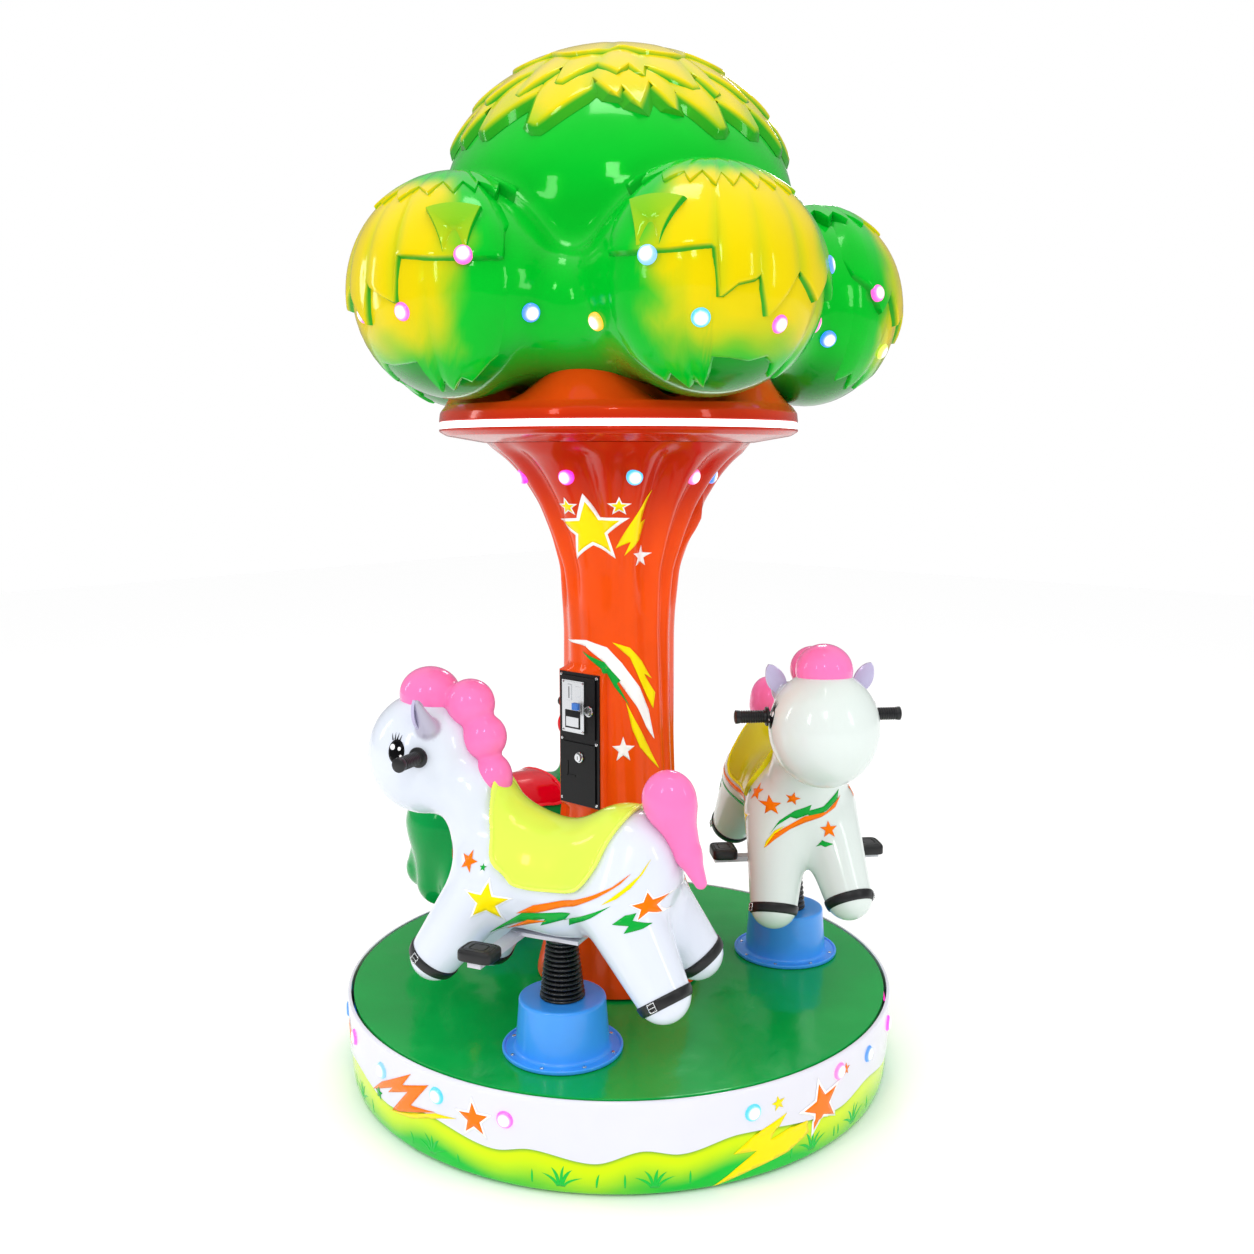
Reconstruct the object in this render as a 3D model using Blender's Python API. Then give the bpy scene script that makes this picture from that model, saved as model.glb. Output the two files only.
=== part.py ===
"""Coin-operated kiddie carousel: a tree-shaped centre column with a lobed crown,
a turntable deck, and three rides (two ponies and a little dinosaur) on bellows lifts.

Metres, +Z up. The origin is on the floor under the centre column, and the coin panel
faces -Y. The column's and the crown's heights count from the deck's top face.
Each ride is modelled in its own frame, +X forward, +Y to its left, with its origin on the lift's axis at the
deck's top face, and is then placed by the empty that carries it.
"""

import math

import bmesh
import bpy
from mathutils import Matrix, Vector

GAP = 0.0003
SNUG = 0.0008

DECK_Z = 0.209
DECK_R = 0.645
DECK_THICK = 0.030
DECK_HOLE_R = 0.150
SKIRT_R = 0.660
SKIRT_FOOT_R = 0.640
SKIRT_WALL = 0.010
SKIRT_LIGHT_R = 0.0185
SKIRT_LIGHT_RISE = 0.0085
# azimuth in degrees and height over the deck; there are none from -65 to -26 degrees
SKIRT_LIGHTS = (
    (-128, -0.055),
    (-114, -0.052),
    (-99.2, -0.058),
    (-82.8, -0.047),
    (-68.3, -0.057),
    (-23.7, -0.053),
    (-2.6, -0.036),
    (8.7, -0.048),
    (24, -0.052),
    (39, -0.055),
    (54, -0.048),
    (69, -0.056),
    (84, -0.050),
    (99, -0.057),
    (114, -0.049),
    (129, -0.055),
    (144, -0.050),
    (159, -0.056),
    (174, -0.049),
    (189, -0.055),
    (204, -0.050),
    (218, -0.056),
)
RING_R = 0.240
RING_INNER_R = 0.190

CORE_R = 0.145
FOOT_CLEAR = 0.006
TRUNK_TOP = 1.289
COLLAR_R = 0.4165
STRIP_R = 0.4145
STRIP_Z = (1.3200, 1.3340)
STRIP_DEPTH = 0.0085
COLLAR_TOP = 1.372

LOBES = 5
LOBE_FIRST_DEG = -96.6
LOBE_RING_R = 0.443
LOBE_R = 0.222
LOBE_HALF_WIDTH = 0.270
LOBE_HALF_HEIGHT = 0.239
LOBE_Z = 1.595
DOME_R = 0.405
DOME_HALF_HEIGHT = 0.345
DOME_Z = 1.790
DRUM_Z = 1.620
DRUM_RADII = (0.370, 0.370, 0.220)
CAP_THICK = 0.028
CAP_EDGE_Z = 1.955
CAP_LEAVES = 14
LEAF_DROP = 0.060

PANEL_Y = -0.138
PANEL_X = (-0.060, 0.066)
PANEL_Z = (0.445, 0.760)
PANEL_THICK = 0.003
BOX_WALL = 0.003
BOX_DEPTH = 0.068
POCKET_X = (-0.046, 0.052)
COIN_POCKET_Z = (0.612, 0.748)
CASH_POCKET_Z = (0.457, 0.590)
DOOR_LAP = 0.004
DOOR_THICK = 0.003
DOOR_CLEAR = 0.0005
COIN_PLATE_X = (-0.044, 0.026)
COIN_PLATE_Z = (0.619, 0.742)
COIN_PLATE_THICK = 0.005
MECH_X = (-0.030, 0.026)
MECH_DEPTH = 0.050
LOCK_R = 0.009

MOUNT_R = 0.440
YAW_IN = 8.0
CUP_TOP = 0.118
CUP_R = (0.102, 0.094)
FLANGE_R = 0.130
FLANGE_THICK = 0.007
POST_R = 0.016
POST_CLEAR = 0.0006
POST_END = 0.068
BOOT_R = (0.0485, 0.034)
BOOT_WALL = 0.004

PLATE_Z = 0.2470
SEAT_PLATE_THICK = 0.008
PEG_X = 0.095
PEG_HALF_SPAN = 0.205
PEG_WIDE = 0.030
PEG_THICK = 0.012
PAD_SIZE = (0.080, 0.062, 0.024)
PAD_Y = 0.182
HANDLE_X = 0.272
HANDLE_Z = 0.637
HANDLE_HALF_SPAN = 0.194
ROD_R = 0.0115
GRIP_R = 0.0145
GRIP_FLANGE_R = 0.022

TURN_STEPS = 48


def clear_scene():
    for obj in list(bpy.data.objects):
        bpy.data.objects.remove(obj, do_unlink=True)


def paint(name, colour, roughness, metallic=0.0):
    """The Principled material of that name, made from an sRGB hex colour the first time."""
    if name in bpy.data.materials:
        return bpy.data.materials[name]
    material = bpy.data.materials.new(name)
    material.use_nodes = True
    shader = material.node_tree.nodes["Principled BSDF"]
    linear = [(int(colour[i : i + 2], 16) / 255) ** 2.2 for i in (0, 2, 4)]
    shader.inputs["Base Color"].default_value = (*linear, 1)
    shader.inputs["Roughness"].default_value = roughness
    shader.inputs["Metallic"].default_value = metallic
    return material


def add_object(name, shape, material):
    """An object from a bmesh, which is freed."""
    bmesh.ops.recalc_face_normals(shape, faces=shape.faces)
    if shape.calc_volume(signed=True) < 0:
        bmesh.ops.reverse_faces(shape, faces=shape.faces)
    mesh = bpy.data.meshes.new(name)
    shape.to_mesh(mesh)
    shape.free()
    if material:
        mesh.materials.append(material)
    obj = bpy.data.objects.new(name, mesh)
    bpy.context.scene.collection.objects.link(obj)
    return obj


def box(name, low, high, material=None):
    shape = bmesh.new()
    bmesh.ops.create_cube(shape, size=1)
    for vert in shape.verts:
        vert.co = [l + (h - l) * (c + 0.5) for l, h, c in zip(low, high, vert.co)]
    return add_object(name, shape, material)


def turned(name, profile, steps=TURN_STEPS, material=None, reshape=None):
    """A closed solid turned about Z from (radius, height) points; a radius of 0 closes on the axis."""
    shape = bmesh.new()
    rings = []
    for radius, height in profile:
        if radius == 0:
            rings.append([shape.verts.new((0, 0, height))])
            continue
        ring = []
        for i in range(steps):
            angle = 2 * math.pi * i / steps
            r, z = reshape(radius, angle, height) if reshape else (radius, height)
            ring.append(shape.verts.new((r * math.cos(angle), r * math.sin(angle), z)))
        rings.append(ring)
    closed = profile[0][0] > 0
    pairs = list(zip(rings, rings[1:])) + ([(rings[-1], rings[0])] if closed else [])
    for lower, upper in pairs:
        for i in range(steps):
            j = (i + 1) % steps
            corners = [lower[i % len(lower)], lower[j % len(lower)]]
            corners += [upper[j % len(upper)], upper[i % len(upper)]]
            face = list(dict.fromkeys(corners))
            if len(face) > 2:
                shape.faces.new(face)
    return add_object(name, shape, material)


def rod(name, start, end, radius, steps=16, material=None):
    """A round bar between two points."""
    start, end = Vector(start), Vector(end)
    shape = bmesh.new()
    bmesh.ops.create_cone(
        shape,
        cap_ends=True,
        segments=steps,
        radius1=radius,
        radius2=radius,
        depth=(end - start).length,
    )
    turn = (end - start).to_track_quat("Z", "Y").to_matrix().to_4x4()
    shape.transform(Matrix.Translation((start + end) / 2) @ turn)
    return add_object(name, shape, material)


def prism(name, outline, low, high):
    """An outline of (x, z) points stretched along Y."""
    shape = bmesh.new()
    base = [shape.verts.new((x, low, z)) for x, z in outline]
    face = shape.faces.new(base)
    grown_part = bmesh.ops.extrude_face_region(shape, geom=[face])["geom"]
    moved = [item for item in grown_part if isinstance(item, bmesh.types.BMVert)]
    bmesh.ops.translate(shape, verts=moved, vec=(0, high - low, 0))
    return add_object(name, shape, None)


def settle(obj):
    """Swap an object's mesh for its evaluated one and drop the modifiers."""
    graph = bpy.context.evaluated_depsgraph_get()
    mesh = bpy.data.meshes.new_from_object(obj.evaluated_get(graph))
    obj.modifiers.clear()
    obj.data = mesh
    return obj


def boolean(obj, other, operation):
    """Apply a Boolean with another object, which then goes."""
    modifier = obj.modifiers.new(operation.lower(), "BOOLEAN")
    modifier.operation = operation
    modifier.object = other
    bpy.context.view_layer.update()
    settle(obj)
    bpy.data.objects.remove(other, do_unlink=True)
    return obj


def joined(obj, *others):
    for other in others:
        boolean(obj, other, "UNION")
    return obj


def cut(obj, *others):
    for other in others:
        boolean(obj, other, "DIFFERENCE")
    return obj


def grown(obj, by):
    """A copy of an object pushed out along its normals, for cutting its neighbours."""
    copy = bpy.data.objects.new(obj.name + "_room", obj.data.copy())
    bpy.context.scene.collection.objects.link(copy)
    swell = copy.modifiers.new("swell", "DISPLACE")
    swell.mid_level = 0
    swell.strength = by
    bpy.context.view_layer.update()
    return settle(copy)


def ball(centre, radii, turn=0.0):
    return ("ball", centre, radii, turn)


def limb(start, start_r, end, end_r):
    return ("limb", start, start_r, end, end_r)


def add_ball(shape, centre, radii, turn=0.0):
    made = bmesh.ops.create_icosphere(shape, subdivisions=4, radius=1)["verts"]
    bmesh.ops.scale(shape, verts=made, vec=radii)
    bmesh.ops.rotate(shape, verts=made, cent=(0, 0, 0), matrix=Matrix.Rotation(turn, 3, "Z"))
    bmesh.ops.translate(shape, verts=made, vec=centre)
    return made


def add_limb(shape, start, start_r, end, end_r):
    """Two balls and the skin stretched over them."""
    part = bmesh.new()
    add_ball(part, start, (start_r,) * 3)
    add_ball(part, end, (end_r,) * 3)
    hull = bmesh.ops.convex_hull(part, input=part.verts, use_existing_faces=False)
    loose = [v for v in hull["geom_interior"] if isinstance(v, bmesh.types.BMVert)]
    bmesh.ops.delete(part, geom=loose, context="VERTS")
    old = [f for f in hull["geom_unused"] if isinstance(f, bmesh.types.BMFace)]
    bmesh.ops.delete(part, geom=[f for f in old if f.is_valid], context="FACES_ONLY")
    mesh = bpy.data.meshes.new("limb")
    part.to_mesh(mesh)
    part.free()
    shape.from_mesh(mesh)
    bpy.data.meshes.remove(mesh)


def moulded(name, shapes, voxel, smoothing, triangles, material=None):
    """One smooth skin over overlapping balls and limbs, reduced to about that many triangles."""
    merged = bmesh.new()
    for kind, *sizes in shapes:
        if kind == "ball":
            add_ball(merged, *sizes)
        else:
            add_limb(merged, *sizes)
    obj = add_object(name, merged, material)
    remesh = obj.modifiers.new("skin", "REMESH")
    remesh.mode = "VOXEL"
    remesh.voxel_size = voxel
    soften = obj.modifiers.new("soften", "SMOOTH")
    soften.factor = 0.5
    soften.iterations = smoothing
    bpy.context.view_layer.update()
    settle(obj)
    reduce = obj.modifiers.new("reduce", "DECIMATE")
    reduce.ratio = min(1.0, triangles / (2 * len(obj.data.polygons)))
    bpy.context.view_layer.update()
    settle(obj)
    if material:
        obj.data.materials.clear()
        obj.data.materials.append(material)
    return obj


def smooth_shaded(obj):
    obj.data.shade_smooth()
    obj.data.set_sharp_from_angle(angle=math.radians(40))


def above_deck(profile):
    return [(radius, DECK_Z + height) for radius, height in profile]


def make_skirt_light(azimuth_deg, height):
    """A light's lens cap: a flattened ball, half sunk in the skirt's wall."""
    place = (
        Matrix.Rotation(math.radians(azimuth_deg), 4, "Z")
        @ Matrix.Translation((SKIRT_R, 0, DECK_Z + height))
        @ Matrix.Rotation(math.radians(90), 4, "Y")
        @ Matrix.Diagonal((SKIRT_LIGHT_R, SKIRT_LIGHT_R, SKIRT_LIGHT_RISE, 1))
    )
    shape = bmesh.new()
    bmesh.ops.create_uvsphere(shape, u_segments=12, v_segments=6, radius=1, matrix=place)
    return add_object("skirt_light", shape, None)


def make_base():
    """Everything under the deck: skirt, machine base and slewing ring."""
    steel = paint("base_steel", "3C4044", 0.45, 0.8)
    skirt_paint = paint("skirt_paint", "EDEBF5", 0.15)
    lip = SKIRT_R - DECK_R - 0.005
    skirt = turned(
        "base_skirt",
        [
            (SKIRT_FOOT_R - SKIRT_WALL, 0),
            (SKIRT_FOOT_R, 0),
            (SKIRT_R - 0.008, 0.010),
            (SKIRT_R - 0.004, 0.030),
            (SKIRT_R, DECK_Z - 0.012),
            (SKIRT_R - 0.002, DECK_Z - 0.002),
            (SKIRT_R - 0.005, DECK_Z),
            (SKIRT_R - lip, DECK_Z),
            (SKIRT_R - lip, DECK_Z - 0.040),
            (SKIRT_FOOT_R - SKIRT_WALL, DECK_Z - 0.060),
        ],
        48,
        skirt_paint,
    )
    joined(skirt, *(make_skirt_light(*place) for place in SKIRT_LIGHTS))
    ring_top = DECK_Z - DECK_THICK - GAP
    ring_low = ring_top - 0.030
    drum_r = SKIRT_FOOT_R - SKIRT_WALL - GAP
    drum = turned(
        "machine_base",
        [(0, 0), (drum_r, 0), (drum_r, ring_low - GAP), (0, ring_low - GAP)],
        48,
        steel,
    )
    ring = turned(
        "slewing_ring",
        [
            (RING_INNER_R, ring_low),
            (RING_R, ring_low),
            (RING_R, ring_top),
            (RING_INNER_R, ring_top),
        ],
        32,
        paint("bearing_steel", "8C9094", 0.35, 0.9),
    )
    return [skirt, drum, ring], ring_low


def trunk_profile(bottom):
    """(radius, height) up the column's outside, from the machine base to the collar."""
    return [
        (0, bottom),
        (CORE_R, bottom),
        (CORE_R, DECK_Z + FOOT_CLEAR),
    ] + above_deck(
        [
            (0.203, FOOT_CLEAR),
            (0.203, 0.014),
            (0.188, 0.060),
            (0.170, 0.140),
            (0.150, 0.280),
            (0.136, 0.440),
            (0.131, 0.600),
            (0.130, 0.850),
            (0.138, 1.000),
            (0.160, 1.075),
            (0.190, 1.150),
            (0.230, 1.215),
            (0.268, 1.258),
            (0.316, TRUNK_TOP),
            (0, TRUNK_TOP),
        ]
    )


def make_trunk(bottom):
    bark = paint("trunk_paint", "EA4C0C", 0.15)
    trunk = turned("trunk", trunk_profile(bottom), 32, bark)
    low_x, high_x = PANEL_X
    low_z, high_z = (DECK_Z + z for z in PANEL_Z)
    rim = 0.004
    facet = box(
        "facet",
        (low_x - rim, PANEL_Y, low_z - rim),
        (high_x + rim, 0, high_z + rim),
    )
    bevel = facet.modifiers.new("edge", "BEVEL")
    bevel.width = 0.006
    bevel.segments = 1
    bpy.context.view_layer.update()
    joined(trunk, settle(facet))
    knot = moulded(
        "knot", [ball((0.115, 0.090, DECK_Z + 1.085), (0.055, 0.05, 0.05))], 0.02, 2, 90
    )
    joined(trunk, knot)
    recess = box(
        "recess",
        (POCKET_X[0] - BOX_WALL - GAP, PANEL_Y - 0.02, DECK_Z + CASH_POCKET_Z[0] - BOX_WALL - GAP),
        (
            POCKET_X[1] + BOX_WALL + GAP,
            PANEL_Y + BOX_DEPTH + GAP,
            DECK_Z + COIN_POCKET_Z[1] + BOX_WALL + GAP,
        ),
    )
    return cut(trunk, recess)


def make_coin_parts():
    """The coin housing let into the column, with its two hinged doors."""
    black = paint("panel_black", "17171A", 0.35, 0.6)
    chrome = paint("chrome", "D8DADC", 0.12, 1.0)
    face = PANEL_Y - GAP
    housing = box(
        "coin_housing",
        (PANEL_X[0], face - PANEL_THICK, DECK_Z + PANEL_Z[0]),
        (PANEL_X[1], face, DECK_Z + PANEL_Z[1]),
        black,
    )
    body = box(
        "box_body",
        (POCKET_X[0] - BOX_WALL, face - 0.001, DECK_Z + CASH_POCKET_Z[0] - BOX_WALL),
        (POCKET_X[1] + BOX_WALL, PANEL_Y + BOX_DEPTH, DECK_Z + COIN_POCKET_Z[1] + BOX_WALL),
    )
    joined(housing, body)
    for low_z, high_z in (COIN_POCKET_Z, CASH_POCKET_Z):
        cut(
            housing,
            box(
                "pocket",
                (POCKET_X[0], face - 0.02, DECK_Z + low_z),
                (POCKET_X[1], PANEL_Y + BOX_DEPTH - BOX_WALL, DECK_Z + high_z),
            ),
        )
    front = face - PANEL_THICK - DOOR_CLEAR
    doors = {}
    for name, (low_z, high_z) in (("coin", COIN_POCKET_Z), ("cash", CASH_POCKET_Z)):
        doors[name] = box(
            name + "_door",
            (POCKET_X[0] - DOOR_LAP, front - DOOR_THICK, DECK_Z + low_z - DOOR_LAP),
            (POCKET_X[1] + DOOR_LAP, front, DECK_Z + high_z + DOOR_LAP),
            black,
        )
    mech = box(
        "mech",
        (MECH_X[0], front - 0.001, DECK_Z + COIN_PLATE_Z[0] + 0.01),
        (MECH_X[1], front + MECH_DEPTH, DECK_Z + COIN_PLATE_Z[1] - 0.01),
    )
    joined(doors["coin"], mech)
    outer = front - DOOR_THICK - GAP
    plate = box(
        "coin_plate",
        (COIN_PLATE_X[0], outer - COIN_PLATE_THICK, DECK_Z + COIN_PLATE_Z[0]),
        (COIN_PLATE_X[1], outer, DECK_Z + COIN_PLATE_Z[1]),
        chrome,
    )
    slot = box(
        "slot",
        (-0.020, outer - 0.02, DECK_Z + 0.700),
        (-0.017, outer - 0.001, DECK_Z + 0.728),
    )
    cut(plate, slot)
    locks = []
    for name, x, z in (("coin_lock", 0.038, 0.674), ("cash_lock", 0.007, 0.561)):
        z += DECK_Z
        locks.append(rod(name, (x, outer, z), (x, outer - 0.008, z), LOCK_R, 16, chrome))
    hinge_y = front - DOOR_THICK
    hinge_x = POCKET_X[0] - DOOR_LAP
    for name, parts in (("coin", [doors["coin"], plate, locks[0]]), ("cash", [doors["cash"], locks[1]])):
        pivot = bpy.data.objects.new(name + "_door_hinge", None)
        bpy.context.scene.collection.objects.link(pivot)
        pivot.location = (hinge_x, hinge_y, 0)
        bpy.context.view_layer.update()
        for part in parts:
            part.parent = pivot
            part.matrix_parent_inverse = pivot.matrix_world.inverted()
    return [housing, *doors.values(), plate, *locks]


def lobe_balls():
    """The crown's lobes: upright eggs that are wider round the column than they are deep."""
    for i in range(LOBES):
        angle = math.radians(LOBE_FIRST_DEG + 360 * i / LOBES)
        place = (LOBE_RING_R * math.cos(angle), LOBE_RING_R * math.sin(angle), DECK_Z + LOBE_Z)
        yield ball(place, (LOBE_R, LOBE_HALF_WIDTH, LOBE_HALF_HEIGHT), angle)


def make_canopy():
    """The crown: five round lobes blended into a dome, and a leafy cap on top."""
    leaf = paint("crown_paint", "00BE2C", 0.12)
    shapes = list(lobe_balls())
    shapes.append(ball((0, 0, DECK_Z + DOME_Z), (DOME_R, DOME_R, DOME_HALF_HEIGHT)))
    shapes.append(ball((0, 0, DECK_Z + DRUM_Z), DRUM_RADII))
    canopy = moulded("crown_canopy", shapes, 0.022, 5, 1300, leaf)
    steps = CAP_LEAVES * 4
    low = DECK_Z + CAP_EDGE_Z
    edge_r = DOME_R * math.sqrt(1 - ((CAP_EDGE_Z - DOME_Z) / DOME_HALF_HEIGHT) ** 2)

    def leafy(radius, angle, height):
        """Lowers the cap's edge into a row of leaf points."""
        if height > low + 0.001 or radius < edge_r:
            return radius, height
        share = abs((angle * CAP_LEAVES / (2 * math.pi)) % 1 - 0.5)
        return radius + 0.010 * (0.5 - share), height - LEAF_DROP * (0.5 - share)

    profile = [(0, low), (edge_r - 0.05, low), (edge_r + CAP_THICK * 0.8, low)]
    for share in (0.85, 0.65, 0.4, 0.2):
        radius = (edge_r + CAP_THICK * 0.8) * share
        shell = math.sqrt(1 - (radius / (DOME_R + CAP_THICK)) ** 2)
        profile.append((radius, DECK_Z + DOME_Z + (DOME_HALF_HEIGHT + CAP_THICK) * shell))
    profile.append((0, DECK_Z + DOME_Z + DOME_HALF_HEIGHT + CAP_THICK))
    cap = turned("crown_cap", profile, steps, paint("cap_paint", "F0DC00", 0.12), leafy)
    cut(cap, grown(canopy, SNUG))
    return canopy, cap


def make_collar(canopy):
    """The flared disc under the crown, with its light strip, rising between the lobes."""
    bark = paint("collar_paint", "D8420C", 0.15)
    valley = math.radians(LOBE_FIRST_DEG + 180 / LOBES)
    low = DECK_Z + TRUNK_TOP + GAP

    def wavy(radius, angle, height):
        rise = height - (DECK_Z + COLLAR_TOP)
        if rise < 0.001:
            return radius, height
        return radius, height + 0.055 * math.cos(LOBES * (angle - valley)) * min(1, rise / 0.03)

    collar = turned(
        "collar",
        [(0, low), (0.316, low)]
        + above_deck(
            [
                (0.362, 1.2975),
                (0.400, 1.304),
                (COLLAR_R, 1.314),
                (COLLAR_R, STRIP_Z[0] - GAP),
                (COLLAR_R - STRIP_DEPTH, STRIP_Z[0] - GAP),
                (COLLAR_R - STRIP_DEPTH, STRIP_Z[1] + GAP),
                (COLLAR_R, STRIP_Z[1] + GAP),
                (COLLAR_R - 0.003, 1.356),
                (0.402, COLLAR_TOP),
                (0.360, 1.400),
                (0.300, 1.440),
            ]
        )
        + [(0, DECK_Z + 1.460)],
        50,
        bark,
        wavy,
    )
    cut(collar, grown(canopy, SNUG))
    strip = turned(
        "collar_light_strip",
        above_deck(
            [
                (COLLAR_R - STRIP_DEPTH + GAP, STRIP_Z[0]),
                (STRIP_R, STRIP_Z[0]),
                (STRIP_R, STRIP_Z[1]),
                (COLLAR_R - STRIP_DEPTH + GAP, STRIP_Z[1]),
            ]
        ),
        50,
        paint("strip_light", "F4F6FF", 0.3),
    )
    return collar, strip


def make_deck():
    """The rotating deck, with its edge just inside the skirt's lip."""
    low = DECK_Z - DECK_THICK
    return turned(
        "deck",
        [
            (DECK_HOLE_R, low),
            (DECK_R, low),
            (DECK_R, DECK_Z - 0.002),
            (DECK_R - 0.002, DECK_Z),
            (DECK_HOLE_R, DECK_Z),
        ],
        48,
        paint("deck_paint", "14A84C", 0.10),
    )


def make_cup(name):
    """The moulded cup over a lift, bored for the lift post."""
    bore = POST_R + POST_CLEAR
    return turned(
        name,
        [
            (bore, GAP),
            (FLANGE_R, GAP),
            (FLANGE_R, FLANGE_THICK),
            (CUP_R[0], FLANGE_THICK + 0.004),
            (CUP_R[1], CUP_TOP - 0.016),
            (CUP_R[1] - 0.014, CUP_TOP),
            (bore, CUP_TOP),
        ],
        24,
        paint("cup_blue", "3A9DFF", 0.35),
    )


def make_boot(name, top):
    """The rubber bellows, as a plain open sleeve from the cup to the seat plate."""
    low = CUP_TOP + GAP
    return turned(
        name,
        [
            (BOOT_R[0] - BOOT_WALL, low),
            (BOOT_R[0], low),
            (BOOT_R[1], top - GAP),
            (BOOT_R[1] - BOOT_WALL, top - GAP),
        ],
        24,
        paint("boot_rubber", "101114", 0.3),
    )


def make_seat_frame(name, top, peg_x):
    """The welded lift post, belly plate and footrest bar; top is the plate's underside."""
    steel = paint("frame_paint", "D4D3DC", 0.35, 0.3)
    frame = box(
        name, (-0.052, -0.030, top), (peg_x + PEG_WIDE / 2, 0.030, top + SEAT_PLATE_THICK), steel
    )
    post = rod("post", (0, 0, POST_END), (0, 0, top + SEAT_PLATE_THICK / 2), POST_R, 20)
    peg = box(
        "peg",
        (peg_x - PEG_WIDE / 2, -PEG_HALF_SPAN, top - PEG_THICK / 2),
        (peg_x + PEG_WIDE / 2, PEG_HALF_SPAN, top + PEG_THICK / 2),
    )
    return joined(frame, post, peg)


def make_pads(prefix, top, peg_x):
    rubber = paint("pad_rubber", "1B1C1F", 0.55)
    low = top + PEG_THICK / 2 + GAP
    pads = []
    for side, sign in (("left", 1), ("right", -1)):
        pad = box(
            f"{prefix}_pedal_{side}",
            (peg_x - PAD_SIZE[0] / 2, sign * PAD_Y - PAD_SIZE[1] / 2, low),
            (peg_x + PAD_SIZE[0] / 2, sign * PAD_Y + PAD_SIZE[1] / 2, low + PAD_SIZE[2]),
            rubber,
        )
        bevel = pad.modifiers.new("soft_edge", "BEVEL")
        bevel.width = 0.010
        bevel.segments = 2
        pads.append(pad)
    return pads


def make_handlebar(name, x, z, head_half_width):
    """A straight bar through the head with a rubber grip and a stop flange each side."""
    half = [
        (GRIP_R, HANDLE_HALF_SPAN + 0.003),
        (GRIP_R, head_half_width + 0.008),
        (GRIP_FLANGE_R, head_half_width + 0.008),
        (GRIP_FLANGE_R, head_half_width),
        (ROD_R, head_half_width),
    ]
    profile = [(0, half[0][1])] + half + [(r, -y) for r, y in reversed(half)] + [(0, -half[0][1])]
    bar = turned(name, profile, 12, paint("grip_rubber", "16171B", 0.4))
    bar.data.transform(Matrix.Translation((x, 0, z)) @ Matrix.Rotation(math.pi / 2, 4, "X"))
    return bar


def seat_cutters(top, peg_x, handle_x, handle_z, head_half_width):
    """Room in a figure for its belly plate, footrest bar and handlebar."""
    plate = box(
        "room",
        (-0.070, -0.045, top - 0.05),
        (peg_x + PEG_WIDE, 0.045, top + SEAT_PLATE_THICK + GAP),
    )
    peg = box(
        "room",
        (peg_x - PEG_WIDE / 2 - 0.004, -0.3, top - 0.05),
        (peg_x + PEG_WIDE / 2 + 0.004, 0.3, top + PEG_THICK / 2 + GAP),
    )
    bore = rod("room", (handle_x, -0.2, handle_z), (handle_x, 0.2, handle_z), ROD_R + GAP, 12)
    sides = [
        box(
            "room",
            (handle_x - 0.03, min(sign * (head_half_width - GAP), sign * 0.3), handle_z - 0.03),
            (handle_x + 0.03, max(sign * (head_half_width - GAP), sign * 0.3), handle_z + 0.03),
        )
        for sign in (1, -1)
    ]
    return [plate, peg, bore, *sides]


PONY_BODY = [
    ball((0.000, 0, 0.376), (0.200, 0.106, 0.121)),
    ball((0.125, 0, 0.400), (0.105, 0.103, 0.125)),
    ball((-0.155, 0, 0.425), (0.113, 0.106, 0.120)),
    ball((0.188, 0, 0.495), (0.066, 0.085, 0.105)),
    ball((0.245, 0, 0.560), (0.075, 0.085, 0.070)),
    ball((0.325, 0, 0.618), (0.130, 0.124, 0.134)),
    limb((0.272, 0.082, 0.708), 0.022, (0.282, 0.128, 0.748), 0.013),
    limb((0.272, -0.082, 0.708), 0.022, (0.282, -0.128, 0.748), 0.013),
    limb((0.140, 0.055, 0.370), 0.080, (0.260, 0.085, 0.199), 0.056),
    limb((0.130, -0.055, 0.370), 0.080, (0.225, -0.085, 0.172), 0.056),
    limb((-0.150, 0.050, 0.370), 0.088, (-0.265, 0.085, 0.201), 0.057),
    limb((-0.150, -0.050, 0.380), 0.088, (-0.272, -0.085, 0.226), 0.057),
]
PONY_MANE = [
    ball((0.315, 0, 0.748), (0.067, 0.064, 0.060)),
    ball((0.215, 0, 0.735), (0.053, 0.052, 0.053)),
    ball((0.182, 0, 0.665), (0.049, 0.046, 0.050)),
    ball((0.163, 0, 0.577), (0.043, 0.043, 0.054)),
]
PONY_TAIL = [
    ball((-0.243, 0, 0.574), (0.057, 0.046, 0.061)),
    limb((-0.255, 0, 0.545), 0.042, (-0.285, 0, 0.465), 0.026),
    limb((-0.285, 0, 0.465), 0.026, (-0.312, 0, 0.410), 0.013),
]
PONY_SADDLE = [
    (0.150, 0.640),
    (0.135, 0.530),
    (0.118, 0.482),
    (0.107, 0.435),
    (0.071, 0.410),
    (0.052, 0.383),
    (-0.038, 0.386),
    (-0.070, 0.391),
    (-0.102, 0.405),
    (-0.133, 0.449),
    (-0.145, 0.491),
    (-0.170, 0.540),
    (-0.199, 0.578),
    (-0.199, 0.640),
]
SADDLE_THICK = 0.012
PONY_HEAD_HALF = 0.114

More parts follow.
